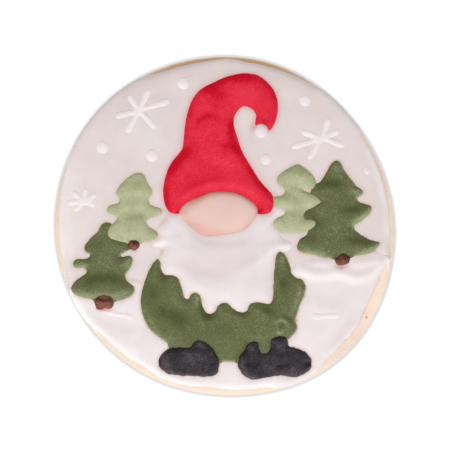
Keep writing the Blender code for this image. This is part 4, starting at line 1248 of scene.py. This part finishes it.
class COOKIE_OT_biscuit(bpy.types.Operator):
    """Bake the biscuit: an uneven round with a pitted side"""

    bl_idname = "cookie.biscuit"
    bl_label = "Bake the biscuit"

    def execute(self, context):
        settings = context.scene.cookie_biscuit
        mesh = written(merged(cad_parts["cookie"].data), bpy.data.meshes.new("biscuit"))
        mesh = remeshed(mesh, settings.crumb)
        bm = bmesh.new()
        bm.from_mesh(mesh)
        smooth(bm, 3)
        bm.normal_update()
        moves = [vert.normal * (-settings.unevenness * sunk(vert)) for vert in bm.verts]
        turned = [min(1.0, 1.5 * (1 - vert.normal.z)) for vert in bm.verts]
        for vert, move in zip(bm.verts, moves):
            vert.co += move
        low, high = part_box("cookie")
        for axis in (0, 1):
            ends = [pick(vert.co[axis] for vert in bm.verts) for pick in (min, max)]
            stretch = (high[axis] - low[axis]) / (ends[1] - ends[0])
            for vert in bm.verts:
                vert.co[axis] = low[axis] + (vert.co[axis] - ends[0]) * stretch
        written(bm, mesh)
        keep_amounts(mesh, "turned", turned)
        obj = set_in_scene(context, "biscuit", mesh, baked_biscuit(settings))
        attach(obj, "root")
        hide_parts("cookie")
        return {"FINISHED"}


class COOKIE_OT_gnome(bpy.types.Operator):
    """Pour the gnome's nose, bobble, boots, hat and trousers, and the tree trunks"""

    bl_idname = "cookie.gnome"
    bl_label = "Pour the gnome and the trunks"

    def execute(self, context):
        pour(context, "skin", "skin_icing", "nose")
        pour(context, "snow", "white_icing", "hat_bobble")
        pour(context, "black", "black_icing", "boot_left", "boot_right")
        pour(context, "brown", "brown_icing", "trunk_left_pale", "trunk_left_dark", "trunk_right_dark")
        pour(context, "red", "red_icing", "hat")
        pour(context, "dark_green", "dark_green_icing", "trousers")
        return {"FINISHED"}


class COOKIE_OT_trees(bpy.types.Operator):
    """Pour the fir trees"""

    bl_idname = "cookie.trees"
    bl_label = "Pour the trees"

    def execute(self, context):
        pour(context, "pale_green", "pale_green_icing", "tree_left_pale", "tree_right_pale")
        pour(context, "dark_green", "dark_green_icing", "tree_left_dark", "tree_right_dark")
        return {"FINISHED"}


class COOKIE_OT_ground(bpy.types.Operator):
    """Pour the beard, and the white snow and sky round the figures"""

    bl_idname = "cookie.ground"
    bl_label = "Pour the beard, snow and sky"

    def execute(self, context):
        pour(context, "snow", "white_icing", "beard", "icing_snow")
        pour(context, "sky", "white_icing", "icing_sky", "icing_sky_left", "icing_sky_right")
        return {"FINISHED"}


class COOKIE_OT_piping(bpy.types.Operator):
    """Pipe the snowflakes, dots and strokes"""

    bl_idname = "cookie.piping"
    bl_label = "Pipe the snow"

    def execute(self, context):
        for node, squeeze in PIPING.items():
            pipe(context, node, *squeeze)
        return {"FINISHED"}


class COOKIE_OT_stage(bpy.types.Operator):
    """Set up the pale floor, the soft lights and the camera above"""

    bl_idname = "cookie.stage"
    bl_label = "Set the stage"

    def execute(self, context):
        settings = context.scene.cookie_stage
        scene = context.scene
        bm = bmesh.new()
        bmesh.ops.create_grid(bm, x_segments=1, y_segments=1, size=FLOOR_REACH)
        bmesh.ops.translate(bm, verts=bm.verts[:], vec=(0, 0, -FLOOR_DROP))
        mesh = written(bm, bpy.data.meshes.new("floor"))
        floor = bpy.data.objects.new("floor", mesh)
        scene.collection.objects.link(floor)
        paper = Finish("pale_floor", 0.9, 0.1)
        paper.shader["Base Color"].default_value = (0.08, 0.085, 0.088, 1)
        paper.shader["Emission Color"].default_value = (1, 1, 1, 1)
        # the floor's glow dimmed by ambient occlusion near the biscuit's foot: a painted contact shadow
        hidden = paper.nodes.new("ShaderNodeAmbientOcclusion")
        hidden.inputs["Distance"].default_value = CONTACT_REACH
        glow_with_painted_shadow = paper.ramp(hidden.outputs["AO"], 0.72, 0.92, 0.645, 0.985)
        paper.links.new(glow_with_painted_shadow, paper.shader["Emission Strength"])
        mesh.materials.append(paper.material)

        world = bpy.data.worlds.new("studio")
        scene.world = world
        world.use_nodes = True
        light = world.node_tree.nodes["Background"].inputs
        light["Color"].default_value = (1.0, 0.95, 0.94, 1)
        light["Strength"].default_value = settings.fill

        lamp = bpy.data.lights.new("softbox", "AREA")
        lamp.shape = "DISK"
        lamp.size = LAMP_WIDTH
        lamp.energy = settings.key
        lamp.color = (0.97, 0.99, 1.0)
        softbox = bpy.data.objects.new("softbox", lamp)
        scene.collection.objects.link(softbox)
        softbox.location = LAMP_PLACE
        softbox.rotation_euler = (Vector(LAMP_AIM) - softbox.location).to_track_quat("-Z", "Y").to_euler()
        softbox.visible_camera = False

        camera = bpy.data.cameras.new("camera")
        camera.sensor_width = SENSOR
        camera.lens = SENSOR * settings.distance / settings.width
        camera.clip_end = 10
        holder = bpy.data.objects.new("camera", camera)
        scene.collection.objects.link(holder)
        holder.location = (*CAMERA_PLACE, BISCUIT_TOP + ICING_LEVEL + settings.distance)
        scene.camera = holder
        scene.view_settings.view_transform = "Standard"
        return {"FINISHED"}


class COOKIE_PT_sidebar(bpy.types.Panel):
    """The cookie's steps and settings"""

    bl_label = "Iced gnome cookie"
    bl_space_type = "VIEW_3D"
    bl_region_type = "UI"
    bl_category = "Cookie"

    def draw(self, context):
        layout = self.layout
        for step in STEPS:
            layout.operator(step.bl_idname)
        for name, group in SETTINGS.items():
            box = layout.box()
            for key in group.__annotations__:
                box.prop(getattr(context.scene, name), key)


STEPS = (
    COOKIE_OT_biscuit,
    COOKIE_OT_gnome,
    COOKIE_OT_trees,
    COOKIE_OT_ground,
    COOKIE_OT_piping,
    COOKIE_OT_stage,
)
SETTINGS = {
    "cookie_biscuit": CookieBiscuitSettings,
    "cookie_icing": CookieIcingSettings,
    "cookie_stage": CookieStageSettings,
}
CLASSES = (*SETTINGS.values(), *STEPS, COOKIE_PT_sidebar)


def register():
    for cls in CLASSES:
        bpy.utils.register_class(cls)
    for name, group in SETTINGS.items():
        setattr(bpy.types.Scene, name, PointerProperty(type=group))


def unregister():
    for name in SETTINGS:
        delattr(bpy.types.Scene, name)
    for cls in reversed(CLASSES):
        bpy.utils.unregister_class(cls)


def main():
    register()
    bpy.ops.cookie.biscuit()
    bpy.ops.cookie.gnome()
    bpy.ops.cookie.trees()
    bpy.ops.cookie.ground()
    bpy.ops.cookie.piping()
    bpy.ops.cookie.stage()


if __name__ == "__main__":
    main()
